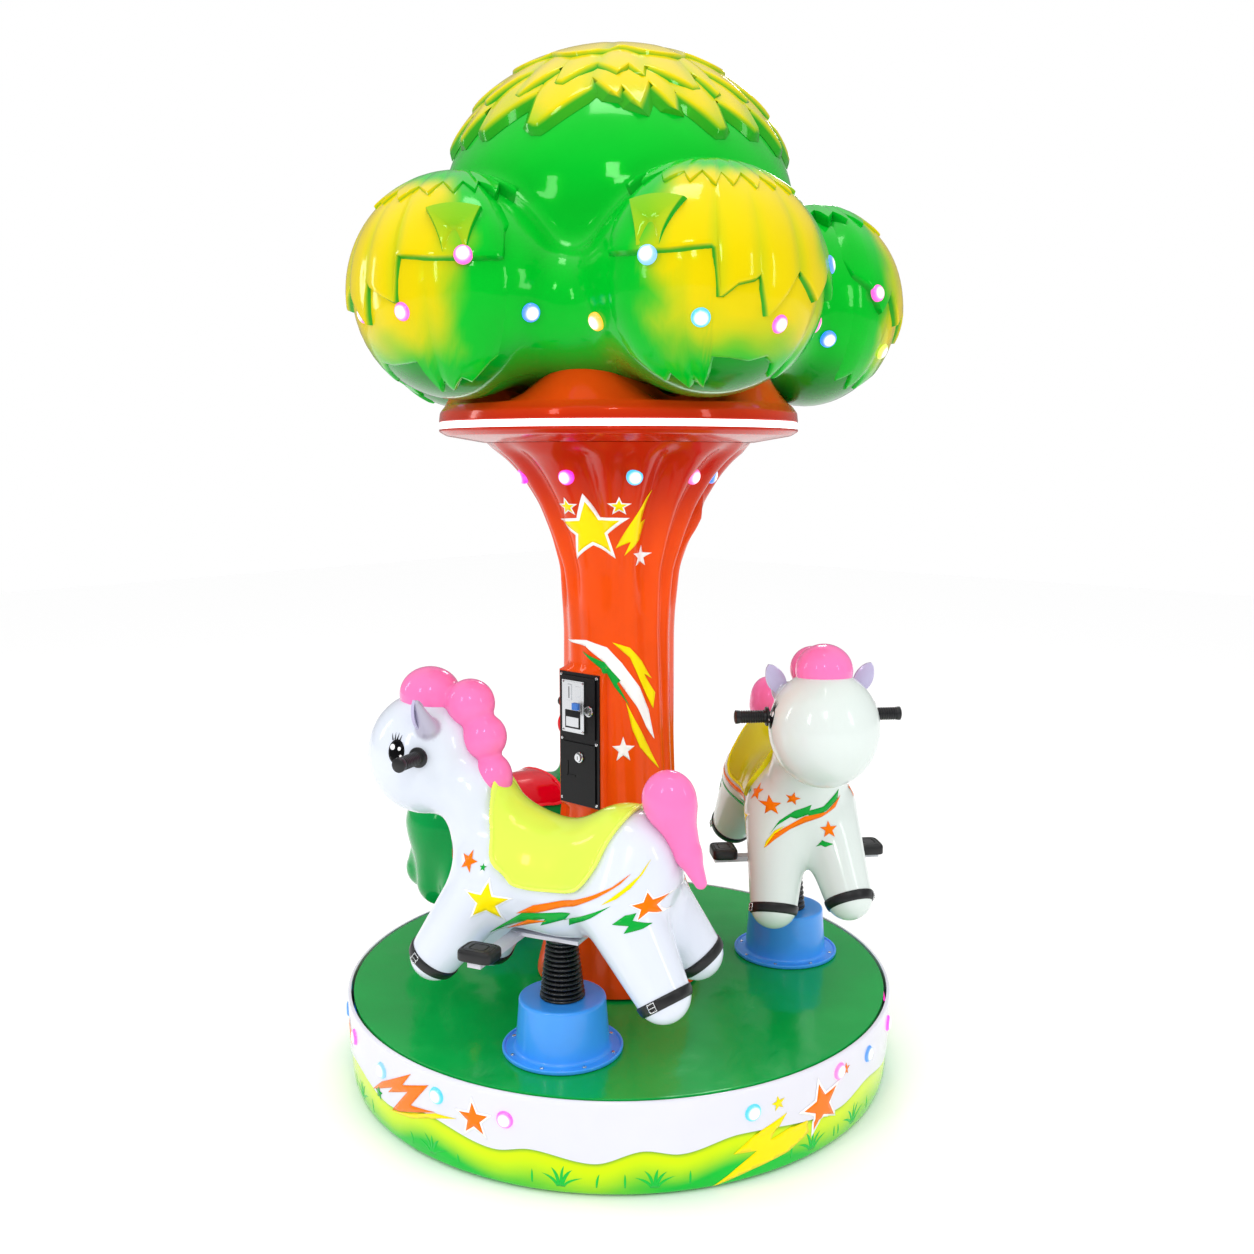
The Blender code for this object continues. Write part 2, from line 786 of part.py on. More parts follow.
DINO_TOP = 0.208
DINO_PEG_X = 0.100
DINO_HANDLE = (0.310, 0.530)
DINO_HEAD_HALF = 0.100
DINO_BODY = [
    ball((0.000, 0, 0.295), (0.190, 0.112, 0.088)),
    ball((-0.150, 0, 0.300), (0.125, 0.112, 0.110)),
    ball((0.140, 0, 0.290), (0.115, 0.100, 0.080)),
    ball((0.262, 0, 0.400), (0.070, 0.076, 0.120)),
    ball((0.310, 0, 0.530), (0.105, 0.108, 0.095)),
    ball((0.392, 0, 0.505), (0.080, 0.088, 0.064)),
    limb((-0.180, 0, 0.290), 0.094, (-0.200, 0, 0.140), 0.063),
    limb((0.120, 0.060, 0.300), 0.068, (0.185, 0.092, 0.155), 0.050),
    limb((0.120, -0.060, 0.300), 0.068, (0.185, -0.092, 0.155), 0.050),
    limb((-0.140, 0.060, 0.280), 0.085, (-0.190, 0.096, 0.150), 0.056),
    limb((-0.140, -0.060, 0.280), 0.085, (-0.190, -0.096, 0.150), 0.056),
]
DINO_CREST = [
    ball((0.275, 0, 0.645), (0.040, 0.022, 0.036)),
    ball((0.220, 0, 0.585), (0.036, 0.022, 0.036)),
    ball((0.203, 0, 0.510), (0.032, 0.021, 0.036)),
    ball((0.250, 0, 0.615), (0.030, 0.020, 0.030)),
    ball((0.209, 0, 0.548), (0.026, 0.020, 0.036)),
]
DINO_SADDLE = [
    (0.116, 0.560),
    (0.117, 0.345),
    (0.095, 0.322),
    (0.040, 0.325),
    (-0.050, 0.320),
    (-0.120, 0.305),
    (-0.185, 0.335),
    (-0.150, 0.385),
    (-0.165, 0.480),
]


def make_figure(name, body_shapes, top, peg_x, handle, head_half, material):
    body = moulded(name + "_body", body_shapes, 0.0095, 4, 900, material)
    return cut(body, *seat_cutters(top, peg_x, *handle, head_half))


def make_saddle(name, body, outline, neighbours, material):
    """A skin of even thickness over the back, cut to its outline as seen from the side."""
    saddle = grown(body, SADDLE_THICK)
    saddle.name = name
    boolean(saddle, prism("outline", outline, -0.2, 0.2), "INTERSECT")
    cut(saddle, grown(body, SNUG), *[grown(other, SNUG) for other in neighbours])
    saddle.data.materials.clear()
    saddle.data.materials.append(material)
    return saddle


def make_pony(name, lift, seat_paint):
    white = paint(name + "_white", "F2F5FC", 0.12)
    pink = paint(name + "_pink", "FF7CBC", 0.15)
    body = make_figure(
        name, PONY_BODY, PLATE_Z, PEG_X, (HANDLE_X, HANDLE_Z), PONY_HEAD_HALF, white
    )
    mane = cut(moulded(name + "_mane", PONY_MANE, 0.0085, 2, 300, pink), grown(body, SNUG))
    tail = cut(moulded(name + "_tail", PONY_TAIL, 0.0075, 2, 160, pink), grown(body, SNUG))
    saddle = make_saddle(name + "_saddle", body, PONY_SADDLE, [mane, tail], seat_paint)
    parts = [body, mane, tail, saddle]
    parts.append(make_handlebar(name + "_handlebar", HANDLE_X, HANDLE_Z, PONY_HEAD_HALF))
    parts.append(make_seat_frame(name + "_frame", PLATE_Z, PEG_X))
    parts += make_pads(name, PLATE_Z, PEG_X)
    return parts, make_boot(name + "_boot", PLATE_Z + lift)


def make_dino(name, lift):
    green = paint(name + "_green", "0A9A48", 0.15)
    red = paint(name + "_red", "E00020", 0.15)
    body = make_figure(
        name, DINO_BODY, DINO_TOP, DINO_PEG_X, DINO_HANDLE, DINO_HEAD_HALF, green
    )
    crest = cut(moulded(name + "_crest", DINO_CREST, 0.0075, 2, 220, red), grown(body, SNUG))
    saddle = make_saddle(name + "_saddle", body, DINO_SADDLE, [crest], red)
    parts = [body, crest, saddle]
    parts.append(make_handlebar(name + "_handlebar", *DINO_HANDLE, DINO_HEAD_HALF))
    parts.append(make_seat_frame(name + "_frame", DINO_TOP, DINO_PEG_X))
    parts += make_pads(name, DINO_TOP, DINO_PEG_X)
    return parts, make_boot(name + "_boot", DINO_TOP + lift)


RIDES = (
    ("pony_front", -63.9, 0.0),
    ("pony_right", 56.1, 0.035),
    ("dino", 176.1, 0.015),
)


def make_ride(name, angle_deg, lift, seat_paint):
    """One ride on its cup, placed by an empty on the lift's axis."""
    angle = math.radians(angle_deg)
    parts, boot = make_dino(name, lift) if name == "dino" else make_pony(name, lift, seat_paint)
    cup = make_cup(name + "_cup")
    place = (MOUNT_R * math.cos(angle), MOUNT_R * math.sin(angle), DECK_Z)
    turn = angle - math.radians(90 + YAW_IN)
    carrier = bpy.data.objects.new(name + "_lift", None)
    station = bpy.data.objects.new(name + "_station", None)
    for empty, height in ((station, 0), (carrier, lift)):
        bpy.context.scene.collection.objects.link(empty)
        empty.location = (place[0], place[1], place[2] + height)
        empty.rotation_euler = (0, 0, turn)
    for part in parts:
        part.parent = carrier
    for part in (boot, cup):
        part.parent = station
    return [*parts, boot, cup]


def main():
    clear_scene()
    pieces, ring_low = make_base()
    pieces.append(make_trunk(ring_low))
    pieces += make_coin_parts()
    canopy, cap = make_canopy()
    collar, strip = make_collar(canopy)
    pieces += [canopy, cap, collar, strip, make_deck()]
    seat_paints = {
        "pony_front": paint("saddle_lime", "D8F055", 0.15),
        "pony_right": paint("saddle_yellow", "C4BE18", 0.15),
        "dino": None,
    }
    for name, angle_deg, lift in RIDES:
        pieces += make_ride(name, angle_deg, lift, seat_paints[name])
    for piece in pieces:
        smooth_shaded(piece)


main()
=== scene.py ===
"""Finish for the kiddie carousel: gel-coated crown, column, skirt and riding figures,
bellows, coin panel, stickers and light domes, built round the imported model.

Metres, +Z up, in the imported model's own frame. Heights in the column's and the figures'
tables count from the deck's top face. A figure's table is in its own frame: +X forward,
+Y to its left, the origin on its lift's axis at the deck.
"""

import bpy
import mathutils
import numpy as np
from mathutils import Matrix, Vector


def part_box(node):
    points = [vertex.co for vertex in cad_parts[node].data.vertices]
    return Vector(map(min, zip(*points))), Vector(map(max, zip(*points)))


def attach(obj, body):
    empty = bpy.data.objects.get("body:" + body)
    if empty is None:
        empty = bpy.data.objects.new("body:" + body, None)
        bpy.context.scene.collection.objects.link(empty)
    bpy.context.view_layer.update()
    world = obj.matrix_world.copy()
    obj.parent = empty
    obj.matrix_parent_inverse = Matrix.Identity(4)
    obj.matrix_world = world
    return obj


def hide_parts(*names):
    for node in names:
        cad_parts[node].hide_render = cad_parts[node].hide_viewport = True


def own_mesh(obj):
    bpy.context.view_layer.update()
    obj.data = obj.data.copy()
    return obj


bl_info = {
    "name": "Kiddie Carousel Finish", "version": (1, 0, 0), "blender": (4, 5, 0),
    "location": "View3D > Sidebar > Carousel",
    "description": "Builds the finished surfaces of a three-seat kiddie carousel", "category": "Add Mesh",
}

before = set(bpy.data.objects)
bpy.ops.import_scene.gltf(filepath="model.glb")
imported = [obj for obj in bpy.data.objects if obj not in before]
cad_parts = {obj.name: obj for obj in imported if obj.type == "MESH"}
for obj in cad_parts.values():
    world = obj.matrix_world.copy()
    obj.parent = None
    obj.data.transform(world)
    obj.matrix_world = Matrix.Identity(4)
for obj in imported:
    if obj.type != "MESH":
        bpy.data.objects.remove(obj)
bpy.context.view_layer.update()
MM = 0.001
DECK_Z = float(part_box("deck")[1][2])

# each ride's azimuth in degrees, and how far it stands over its kind's table
RIDES = {"pony_front": (-63.9, 0.0), "pony_right": (56.1, 0.035), "dino": (176.1, 0.015)}
# a lift's distance from the machine's axis, and a figure's turn inward
MOUNT_R = 0.440
YAW_IN = 8.0

# the crown: a ring of lobes with their half sizes outward, sideways and upward, joined by a
# web, under a dome on a drum
LOBES = 5
LOBE_FIRST_DEG = -96.6
LOBE_RING_R = 0.443
LOBE_R = 0.222
LOBE_HALF_WIDTH = 0.262
LOBE_HALF_HEIGHT = 0.239
LOBE_Z = DECK_Z + 1.595
DOME_R = 0.405
DOME_HALF_HEIGHT = 0.345
DOME_Z = DECK_Z + 1.790
DRUM_Z = DECK_Z + 1.620
DRUM_HALF = (0.362, 0.362, 0.215)
WEB_HALF = (0.462, 0.462, 0.190)

COLLAR_R = 0.4165
SKIRT_R = 0.660
DECK_R = 0.645
DECK_HOLE_R = 0.150
# how far the painted grass and the white band lie inside the skirt's solid
GRASS_INSET = 0.0042
BAND_INSET = 0.0008
# where a handlebar's grip ends, from its middle
GRIP_END = 0.194


# Small helpers


def linear(colour):
    """An sRGB hex colour as the linear RGBA that a shader takes."""
    share = np.array([int(colour[i : i + 2], 16) for i in (0, 2, 4)]) / 255
    low = share / 12.92
    high = ((share + 0.055) / 1.055) ** 2.4
    return (*np.where(share <= 0.04045, low, high).tolist(), 1.0)


def add_node(tree, kind, inputs=None, **settings):
    """A node with its settings; an input that is given a socket is linked, any other is set."""
    made = tree.nodes.new(kind)
    for key, value in settings.items():
        setattr(made, key, value)
    for key, value in (inputs or {}).items():
        if isinstance(value, bpy.types.NodeSocket):
            tree.links.new(value, made.inputs[key])
        else:
            made.inputs[key].default_value = value
    return made


def smoothstep(low, high, value):
    """0 below low, 1 above high, and the S-shaped rise 3 s^2 - 2 s^3 between them."""
    share = np.clip((value - low) / (high - low), 0, 1)
    return share * share * (3 - 2 * share)


def through(knots, angle):
    """A soft wave through (angle, value) knots round a circle, level at every knot."""
    knots = np.array(sorted((a % 360, v) for a, v in knots))
    at = np.concatenate([knots[-1:, 0] - 360, knots[:, 0], knots[:1, 0] + 360])
    values = np.concatenate([knots[-1:, 1], knots[:, 1], knots[:1, 1]])
    angle = np.asarray(angle) % 360
    i = np.clip(np.searchsorted(at, angle, side="right") - 1, 0, len(at) - 2)
    return values[i] + (values[i + 1] - values[i]) * smoothstep(at[i], at[i + 1], angle)


def around_z(radius, turn, height):
    """Points at radii, turns in radians and heights: (r cos t, r sin t, z)."""
    radius, turn, height = np.broadcast_arrays(radius, turn, height)
    return np.stack([radius * np.cos(turn), radius * np.sin(turn), height], -1)


def turn_z(degrees):
    """The matrix that turns row vectors about Z."""
    c, s = np.cos(np.radians(degrees)), np.sin(np.radians(degrees))
    return np.array([[c, s, 0], [-s, c, 0], [0, 0, 1]])


def placed(name, points):
    """Points of a figure's own frame, at that ride's station and lift height."""
    angle, lift = RIDES[name]
    centre = around_z(MOUNT_R, np.radians(angle), DECK_Z + lift)
    return points @ turn_z(angle - 90 - YAW_IN) + centre


# Surfaces


def on_ride(name, surfaces):
    """Surfaces of a figure's own frame, moved to that ride's station."""
    return [surface.moved(lambda points: placed(name, points)) for surface in surfaces]


class Surface:
    """Points, lists of equal-sided faces, a material index and paint values per point."""

    def __init__(self, points, faces, slot=0, **paint):
        self.points = np.asarray(points, float)
        self.faces = [np.asarray(block, np.int64) for block in faces if len(block)]
        self.slot = slot
        self.paint = paint

    def moved(self, where):
        return Surface(where(self.points), self.faces, self.slot, **self.paint)


def grid(points, start=True, end=True, slot=0, **paint):
    """A band of quads over a grid of points: rows run along the form and columns round it.

    start and end close the first and last row with a fan to that row's middle point.
    """
    rows, cols = points.shape[:2]
    left = np.arange(rows * cols).reshape(rows, cols)
    right = np.roll(left, -1, axis=1)
    quads = np.stack([left[:-1], right[:-1], right[1:], left[1:]], -1).reshape(-1, 4)
    flat = points.reshape(-1, 3)
    fans = []
    paint = {key: np.broadcast_to(v, (rows, cols)).reshape(-1) for key, v in paint.items()}
    for wanted, row, turned_round in ((start, 0, True), (end, rows - 1, False)):
        if not wanted:
            continue
        middle = np.full(cols, len(flat))
        flat = np.concatenate([flat, points[row].mean(0)[None]])
        paint = {key: np.append(v, v[left[row]].mean()) for key, v in paint.items()}
        pair = (right[row], left[row]) if turned_round else (left[row], right[row])
        fans.append(np.stack([*pair, middle], -1))
    return Surface(flat, [quads, *fans], slot, **paint)


def lathe(profile, steps=96, slot=0, start=True, end=True, **paint):
    """A profile of (radius, height), from low to high outside, turned about Z."""
    profile = np.asarray(profile, float)
    turn = np.linspace(0, 2 * np.pi, steps, endpoint=False)
    return grid(around_z(profile[:, :1], turn, profile[:, 1:]), start, end, slot, **paint)


def rounded(points, radius, steps=4):
    """A profile whose inner corners are replaced by arcs of about that radius."""
    points = np.asarray(points, float)
    made = [points[0]]
    for before, corner, after in zip(points[:-2], points[1:-1], points[2:]):
        back, ahead = before - corner, after - corner
        back_long, ahead_long = np.linalg.norm(back), np.linalg.norm(ahead)
        reach = min(radius, back_long * 0.49, ahead_long * 0.49)
        start = corner + back / back_long * reach
        stop = corner + ahead / ahead_long * reach
        share = np.linspace(0, 1, steps + 1)[:, None]
        made += list((1 - share) ** 2 * start + 2 * share * (1 - share) * corner + share**2 * stop)
    return np.array([*made, points[-1]])


def tube(path, radius, steps, slot):
    """A round section of one radius carried along a path of points."""
    path = np.asarray(path, float)
    ahead = np.gradient(path, axis=0)
    ahead /= np.linalg.norm(ahead, axis=1)[:, None]
    spare = np.eye(3)[np.argmin(np.abs(ahead).max(0))]
    side = np.cross(ahead, spare)
    side /= np.linalg.norm(side, axis=1)[:, None]
    up = np.cross(side, ahead)
    angle = np.linspace(0, 2 * np.pi, steps, endpoint=False)
    ring = np.cos(angle)[:, None] * side[:, None] + np.sin(angle)[:, None] * -up[:, None]
    return grid(path[:, None] + ring * radius, slot=slot)


def skin(field, low, high, cell, settle=3, slot=0):
    """The surface where a field of points is zero, as a net of quads.

    Every cell of a cubic lattice that the surface crosses holds one point, the mean of
    the crossings on its edges, and four cells round a crossed edge share a quad. The
    points then take Newton steps along the field's slope on to the surface.
    """
    axes = [np.arange(a, b + cell, cell) for a, b in zip(low, high)]
    shape = tuple(len(axis) for axis in axes)
    lattice = np.stack(np.meshgrid(*axes, indexing="ij"), -1)
    value = field(lattice.reshape(-1, 3)).reshape(shape)
    inside = value < 0
    cells = tuple(n - 1 for n in shape)
    total = np.zeros((*cells, 3))
    count = np.zeros(cells)
    corners = np.array([(i, j, k) for i in (0, 1) for j in (0, 1) for k in (0, 1)])

    def corner(grid_values, at):
        return grid_values[at[0] : at[0] + cells[0], at[1] : at[1] + cells[1], at[2] : at[2] + cells[2]]

    for a in corners:
        for axis in range(3):
            if a[axis]:
                continue
            b = a.copy()
            b[axis] = 1
            va, vb = corner(value, a), corner(value, b)
            crossed = corner(inside, a) != corner(inside, b)
            share = np.where(crossed, va / np.where(crossed, va - vb, 1), 0)
            where = corner(lattice, a) + share[..., None] * (b - a) * cell
            total += where * crossed[..., None]
            count += crossed
    used = count > 0
    index = np.full(cells, -1)
    index[used] = np.arange(used.sum())
    points = total[used] / count[used][:, None]
    quads = []
    for axis in range(3):
        u, v = (axis + 1) % 3, (axis + 2) % 3
        first = [slice(1, -1)] * 3
        first[axis] = slice(0, -1)
        second = list(first)
        second[axis] = slice(1, None)
        start, stop = inside[tuple(first)], inside[tuple(second)]
        ring = []
        for du, dv in ((0, 0), (1, 0), (1, 1), (0, 1)):
            part = [slice(None)] * 3
            part[axis] = slice(0, cells[axis])
            part[u] = slice(1 - du, cells[u] - du)
            part[v] = slice(1 - dv, cells[v] - dv)
            ring.append(index[tuple(part)])
        ring = np.stack(ring, -1)
        quads.append(ring[start & ~stop][:, ::-1])
        quads.append(ring[~start & stop])
    quads = np.concatenate(quads)
    points = settled(field, points, 0.0, settle, cell)
    return Surface(points, [quads[:, ::-1]], slot)


def slope(field, points, reach=0.0004):
    """The field's slope at each point, from differences of that reach."""
    steps = np.eye(3) * reach
    return np.stack([field(points + s) - field(points - s) for s in steps], -1) / (2 * reach)


def settled(field, points, offset, rounds, most):
    """Points moved by Newton steps on to the field's level of that offset."""
    for _ in range(rounds):
        rise = slope(field, points)
        size = (rise**2).sum(1) + 1e-9
        step = np.clip((field(points) - offset) / np.sqrt(size), -most, most)
        points = points - rise / np.sqrt(size)[:, None] * step[:, None]
    return points


def ball(p, centre, radii):
    """Signed distance to an ellipsoid: |q|(|q| - 1)/|q/r| with q the point over the radii."""
    radii = np.asarray(radii, float)
    q = (p - centre) / radii
    near = np.sqrt((q**2).sum(1)) + 1e-9
    far = np.sqrt(((q / radii) ** 2).sum(1)) + 1e-9
    return near * (near - 1) / far


def limb(p, start, start_r, end, end_r):
    """Signed distance to a tapering round-ended bar: distance to its axis less the radius there."""
    start, end = np.asarray(start, float), np.asarray(end, float)
    along = end - start
    share = np.clip(((p - start) @ along) / (along @ along), 0, 1)
    near = np.sqrt(((p - start - share[:, None] * along) ** 2).sum(1))
    return near - (start_r + (end_r - start_r) * share)


def blended(a, b, reach):
    """The lower of two distances, with a fillet of about that reach where they meet."""
    if not reach:
        return np.minimum(a, b)
    gap = np.maximum(reach - np.abs(a - b), 0) / reach
    return np.minimum(a, b) - gap * gap * reach / 4


def union(forms):
    """A field that joins balls and limbs in turn, each with its own fillet."""

    def field(p):
        value = None
        for kind, reach, *sizes in forms:
            one = kind(p, *sizes)
            value = one if value is None else blended(value, one, reach)
        return value

    return field


def inside_outline(outline, u, v):
    """Signed distance in a plane from points to a closed outline, negative inside it."""
    a = np.asarray(outline, float)
    b = np.roll(a, -1, axis=0)
    p = np.stack([u, v], -1)[:, None]
    along = b - a
    share = np.clip(((p - a) * along).sum(-1) / (along**2).sum(-1), 0, 1)
    near = np.sqrt(((p - a - share[..., None] * along) ** 2).sum(-1)).min(1)
    crosses = (a[:, 1] > p[..., 1]) != (b[:, 1] > p[..., 1])
    drop = np.where(b[:, 1] == a[:, 1], 1e-9, b[:, 1] - a[:, 1])
    left = p[..., 0] < a[:, 0] + (p[..., 1] - a[:, 1]) * along[:, 0] / drop
    odd = (crosses & left).sum(1) % 2 == 1
    return np.where(odd, -near, near)


def softened(outline, rounds=3):
    """A closed outline with its corners cut off that many times, each at a quarter of the side."""
    outline = np.asarray(outline, float)
    for _ in range(rounds):
        ahead = np.roll(outline, -1, axis=0)
        outline = np.stack([0.75 * outline + 0.25 * ahead, 0.25 * outline + 0.75 * ahead], 1)
        outline = outline.reshape(-1, 2)
    return outline


def facing_out(surface):
    """The surface, turned round if it is closed and its signed volume is below zero.

    The volume is a sixth of the sum of a . (b x c) over triangles of corners a, b and c.
    """
    volume = 0.0
    for block in surface.faces:
        corner = surface.points[block]
        for k in range(1, block.shape[1] - 1):
            cross = np.cross(corner[:, k], corner[:, k + 1])
            volume += np.einsum("ij,ij", corner[:, 0], cross) / 6
    ends = np.concatenate(
        [np.stack([block, np.roll(block, -1, 1)], -1).reshape(-1, 2) for block in surface.faces]
    )
    ends.sort(axis=1)
    _, uses = np.unique(ends, axis=0, return_counts=True)
    if volume < 0 and (uses == 2).all():
        surface.faces = [block[:, ::-1] for block in surface.faces]
    return surface


def make_piece(name, surfaces, materials, body, replaces=(), slot=None, sharp=40):
    """One mesh object from surfaces, riding on a body and standing for CAD nodes."""
    surfaces = [facing_out(s) for s in surfaces]
    points = np.concatenate([s.points for s in surfaces])
    loops, starts, slots = [], [], []
    first = 0
    corner = 0
    for s in surfaces:
        for block in s.faces:
            loops.append((block + first).ravel())
            starts.append(corner + np.arange(len(block)) * block.shape[1])
            corner += block.size
            slots.append(np.full(len(block), s.slot))
        first += len(s.points)
    loops, starts, slots = (np.concatenate(x).astype(np.int32) for x in (loops, starts, slots))
    mesh = bpy.data.meshes.new(name)
    mesh.vertices.add(len(points))
    mesh.vertices.foreach_set("co", points.astype(np.float32).ravel())
    mesh.loops.add(len(loops))
    mesh.loops.foreach_set("vertex_index", loops)
    mesh.polygons.add(len(starts))
    mesh.polygons.foreach_set("loop_start", starts)
    mesh.polygons.foreach_set("material_index", slots)
    for key in sorted({key for s in surfaces for key in s.paint}):
        values = [s.paint.get(key, np.zeros(len(s.points))) for s in surfaces]
        layer = mesh.attributes.new(key, "FLOAT", "POINT")
        layer.data.foreach_set("value", np.concatenate(values).astype(np.float32))
    for material in materials:
        mesh.materials.append(material)
    mesh.update()
    mesh.validate()
    mesh.shade_smooth()
    mesh.set_sharp_from_angle(angle=np.radians(sharp))
    obj = bpy.data.objects.new(name, mesh)
    bpy.context.scene.collection.objects.link(obj)
    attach(obj, body)
    if replaces:
        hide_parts(*replaces)
    return obj


def sheet_of(outline, spacing):
    """(points, triangles) that fill a plane outline with triangles of about that size."""
    outline = np.asarray(outline, float)
    ahead = np.roll(outline, -1, axis=0)
    edge = []
    for a, b in zip(outline, ahead):
        cuts = max(1, int(np.ceil(np.linalg.norm(b - a) / spacing)))
        edge.append(a + (b - a) * (np.arange(cuts) / cuts)[:, None])
    edge = np.concatenate(edge)
    low, high = edge.min(0), edge.max(0)
    u, v = np.meshgrid(np.arange(low[0], high[0], spacing), np.arange(low[1], high[1], spacing))
    inner = np.stack([u.ravel(), v.ravel()], -1)
    inner = inner[inside_outline(edge, *inner.T) < -0.4 * spacing]
    points = np.concatenate([edge, inner])
    ring = [(i, (i + 1) % len(edge)) for i in range(len(edge))]
    flat, _, faces, *_ = mathutils.geometry.delaunay_2d_cdt(
        [mathutils.Vector(p) for p in points.tolist()], ring, [], 1, 1e-7
    )
    return np.array([tuple(p) for p in flat]), np.array([f[:3] for f in faces])


def film_of(points, faces, out, slot):
    """A film of triangles, each turned round where it faces against the way out."""
    a, b, c = (points[faces[:, k]] for k in range(3))
    wrong = (np.cross(b - a, c - a) * out).sum(1) < 0
    faces[wrong] = faces[wrong][:, ::-1]
    return Surface(points, [faces], slot)


def thickened(obj, thickness):
    """Gives a film its thickness, inward from its face."""
    film = obj.modifiers.new("film", "SOLIDIFY")
    film.thickness, film.offset = thickness, -1


def star(centre, radius, turned=0.0, inner=0.42):
    """The ten corners of a five-pointed star in a plane."""
    angle = np.radians(90 + turned + 36 * np.arange(10))
    reach = np.where(np.arange(10) % 2, radius * inner, radius)
    return np.stack([centre[0] + reach * np.cos(angle), centre[1] + reach * np.sin(angle)], -1)


# Materials


def shader_of(name, roughness, **sockets):
    """A new material, its tree and its Principled shader with plain sockets set."""
    material = bpy.data.materials.new(name)
    material.use_nodes = True
    tree = material.node_tree
    shader = tree.nodes["Principled BSDF"]
    shader.inputs["Roughness"].default_value = roughness
    for key, value in sockets.items():
        shader.inputs[key.replace("_", " ")].default_value = value
    return material, tree, shader


def one_per_name(make):
    """A maker of materials that makes one of each name, and gives that one again later."""
    made = {}

    def given(name, *values, **settings):
        if name not in made:
            made[name] = make(name, *values, **settings)
        return made[name]

    return given


def toned(colour, factor):
    """A colour made darker or lighter by a factor, with no channel past 1."""
    return tuple(min(1, c * factor) for c in tuple(colour)[:3]) + (1.0,)


def tint_of(colour):
    """A colour for reflections, in which no channel is quite dark."""
    return tuple(max(0.02, float(c)) for c in tuple(colour)[:3]) + (1.0,)


@one_per_name
def gel_coat(name, colour, spray=None, ripple=0.6, mottle=0.10, grain=0.11, marks=None):
    """Polyester gel coat on glass fibre, sprayed in a mould and buffed.

    To the eye: a deep gloss with slightly wandering reflections, a colour that is a little
    uneven over a hand's breadth, and further colours laid over it where the surface's
    attributes say: the airbrushed spray, which on the column and collar is painted shade,
    and marks, given as (attribute, colour), which on the crown and skirt are painted shade.
    """
    material, tree, shader = shader_of(
        name, 0.16, IOR=1.5, Specular_Tint=tint_of(colour), Coat_Weight=0.22, Coat_Roughness=0.03
    )
    where = add_node(tree, "ShaderNodeTexCoord").outputs["Object"]
    cloud = add_node(tree, "ShaderNodeTexNoise", {"Vector": where, "Scale": 1 / grain, "Detail": 3.0})
    tones = []
    for paint, less, more in ((colour, mottle, mottle), (spray, mottle * 0.7, mottle * 0.4)):
        if paint:
            ends = {"Factor": cloud.outputs["Fac"], 6: toned(paint, 1 - less), 7: toned(paint, 1 + more)}
            tones.append(add_node(tree, "ShaderNodeMix", ends, data_type="RGBA").outputs[2])
    tone = tones[0]
    layers = [("spray", tones[1])] if spray else []
    for attribute, over in [*layers, marks] if marks else layers:
        amount = add_node(tree, "ShaderNodeAttribute", attribute_name=attribute).outputs["Fac"]
        ends = {"Factor": amount, 6: tone, 7: over}
        tone = add_node(tree, "ShaderNodeMix", ends, data_type="RGBA").outputs[2]
    tree.links.new(tone, shader.inputs["Base Color"])
    # orange peel is about 2 mm across; drawn at 9 mm, because the render's pixels are 2 mm
    peel = add_node(tree, "ShaderNodeTexNoise", {"Vector": where, "Scale": 110.0, "Detail": 1.0})
    swell = add_node(tree, "ShaderNodeTexNoise", {"Vector": where, "Scale": 7.0, "Detail": 1.5})
    fine = add_node(
        tree, "ShaderNodeBump",
        {"Height": peel.outputs["Fac"], "Strength": 0.06 * ripple, "Distance": 0.0015},
    ).outputs["Normal"]
    broad = add_node(
        tree, "ShaderNodeBump",
        {"Height": swell.outputs["Fac"], "Strength": 0.35 * ripple, "Distance": 0.008, "Normal": fine},
    ).outputs["Normal"]
    tree.links.new(broad, shader.inputs["Normal"])
    tree.links.new(broad, shader.inputs["Coat Normal"])
    return material


@one_per_name
def plain_finish(name, colour, roughness, noise=(0.0, 100.0), wear=0.08, bump=0.0, **sockets):
    """A one-colour finish whose tone and gloss drift with a noise of (change in gloss, scale)."""
    material, tree, shader = shader_of(name, roughness, **sockets)
    drift, scale = noise
    where = add_node(tree, "ShaderNodeTexCoord").outputs["Object"]
    grain = add_node(tree, "ShaderNodeTexNoise", {"Vector": where, "Scale": scale, "Detail": 4.0})
    grain = grain.outputs["Fac"]
    ends = {"Factor": grain, 6: toned(colour, 1 - wear), 7: toned(colour, 1 + wear)}
    tone = add_node(tree, "ShaderNodeMix", ends, data_type="RGBA")
    tree.links.new(tone.outputs[2], shader.inputs["Base Color"])
    if drift:
        ends = {"Value": grain, "To Min": roughness - drift, "To Max": roughness + drift}
        gloss = add_node(tree, "ShaderNodeMapRange", ends)
        tree.links.new(gloss.outputs["Result"], shader.inputs["Roughness"])
    if bump:
        raised = add_node(tree, "ShaderNodeBump", {"Height": grain, "Strength": bump, "Distance": 0.001})
        tree.links.new(raised.outputs["Normal"], shader.inputs["Normal"])
    return material


def vinyl(colour):
    """Cut vinyl film: one flat printed colour under a smooth satin-gloss laminate."""
    return plain_finish(
        "cut_vinyl_" + colour, linear(colour), 0.22, (0.04, 60.0), 0.03,
        Specular_Tint=tint_of(linear(colour)), Coat_Weight=0.15,
    )


def chrome():
    """Chromed die-cast zinc: a clear mirror, dulled a little by fingers."""
    return plain_finish("chromed_zinc", linear("D9DBDE"), 0.12, (0.05, 45.0), 0.03, Metallic=1.0)


def rubber():
    """Moulded black rubber, dull and a little scuffed."""
    return plain_finish("moulded_rubber_black", linear("101114"), 0.42, (0.08, 70.0), 0.2, 0.15)


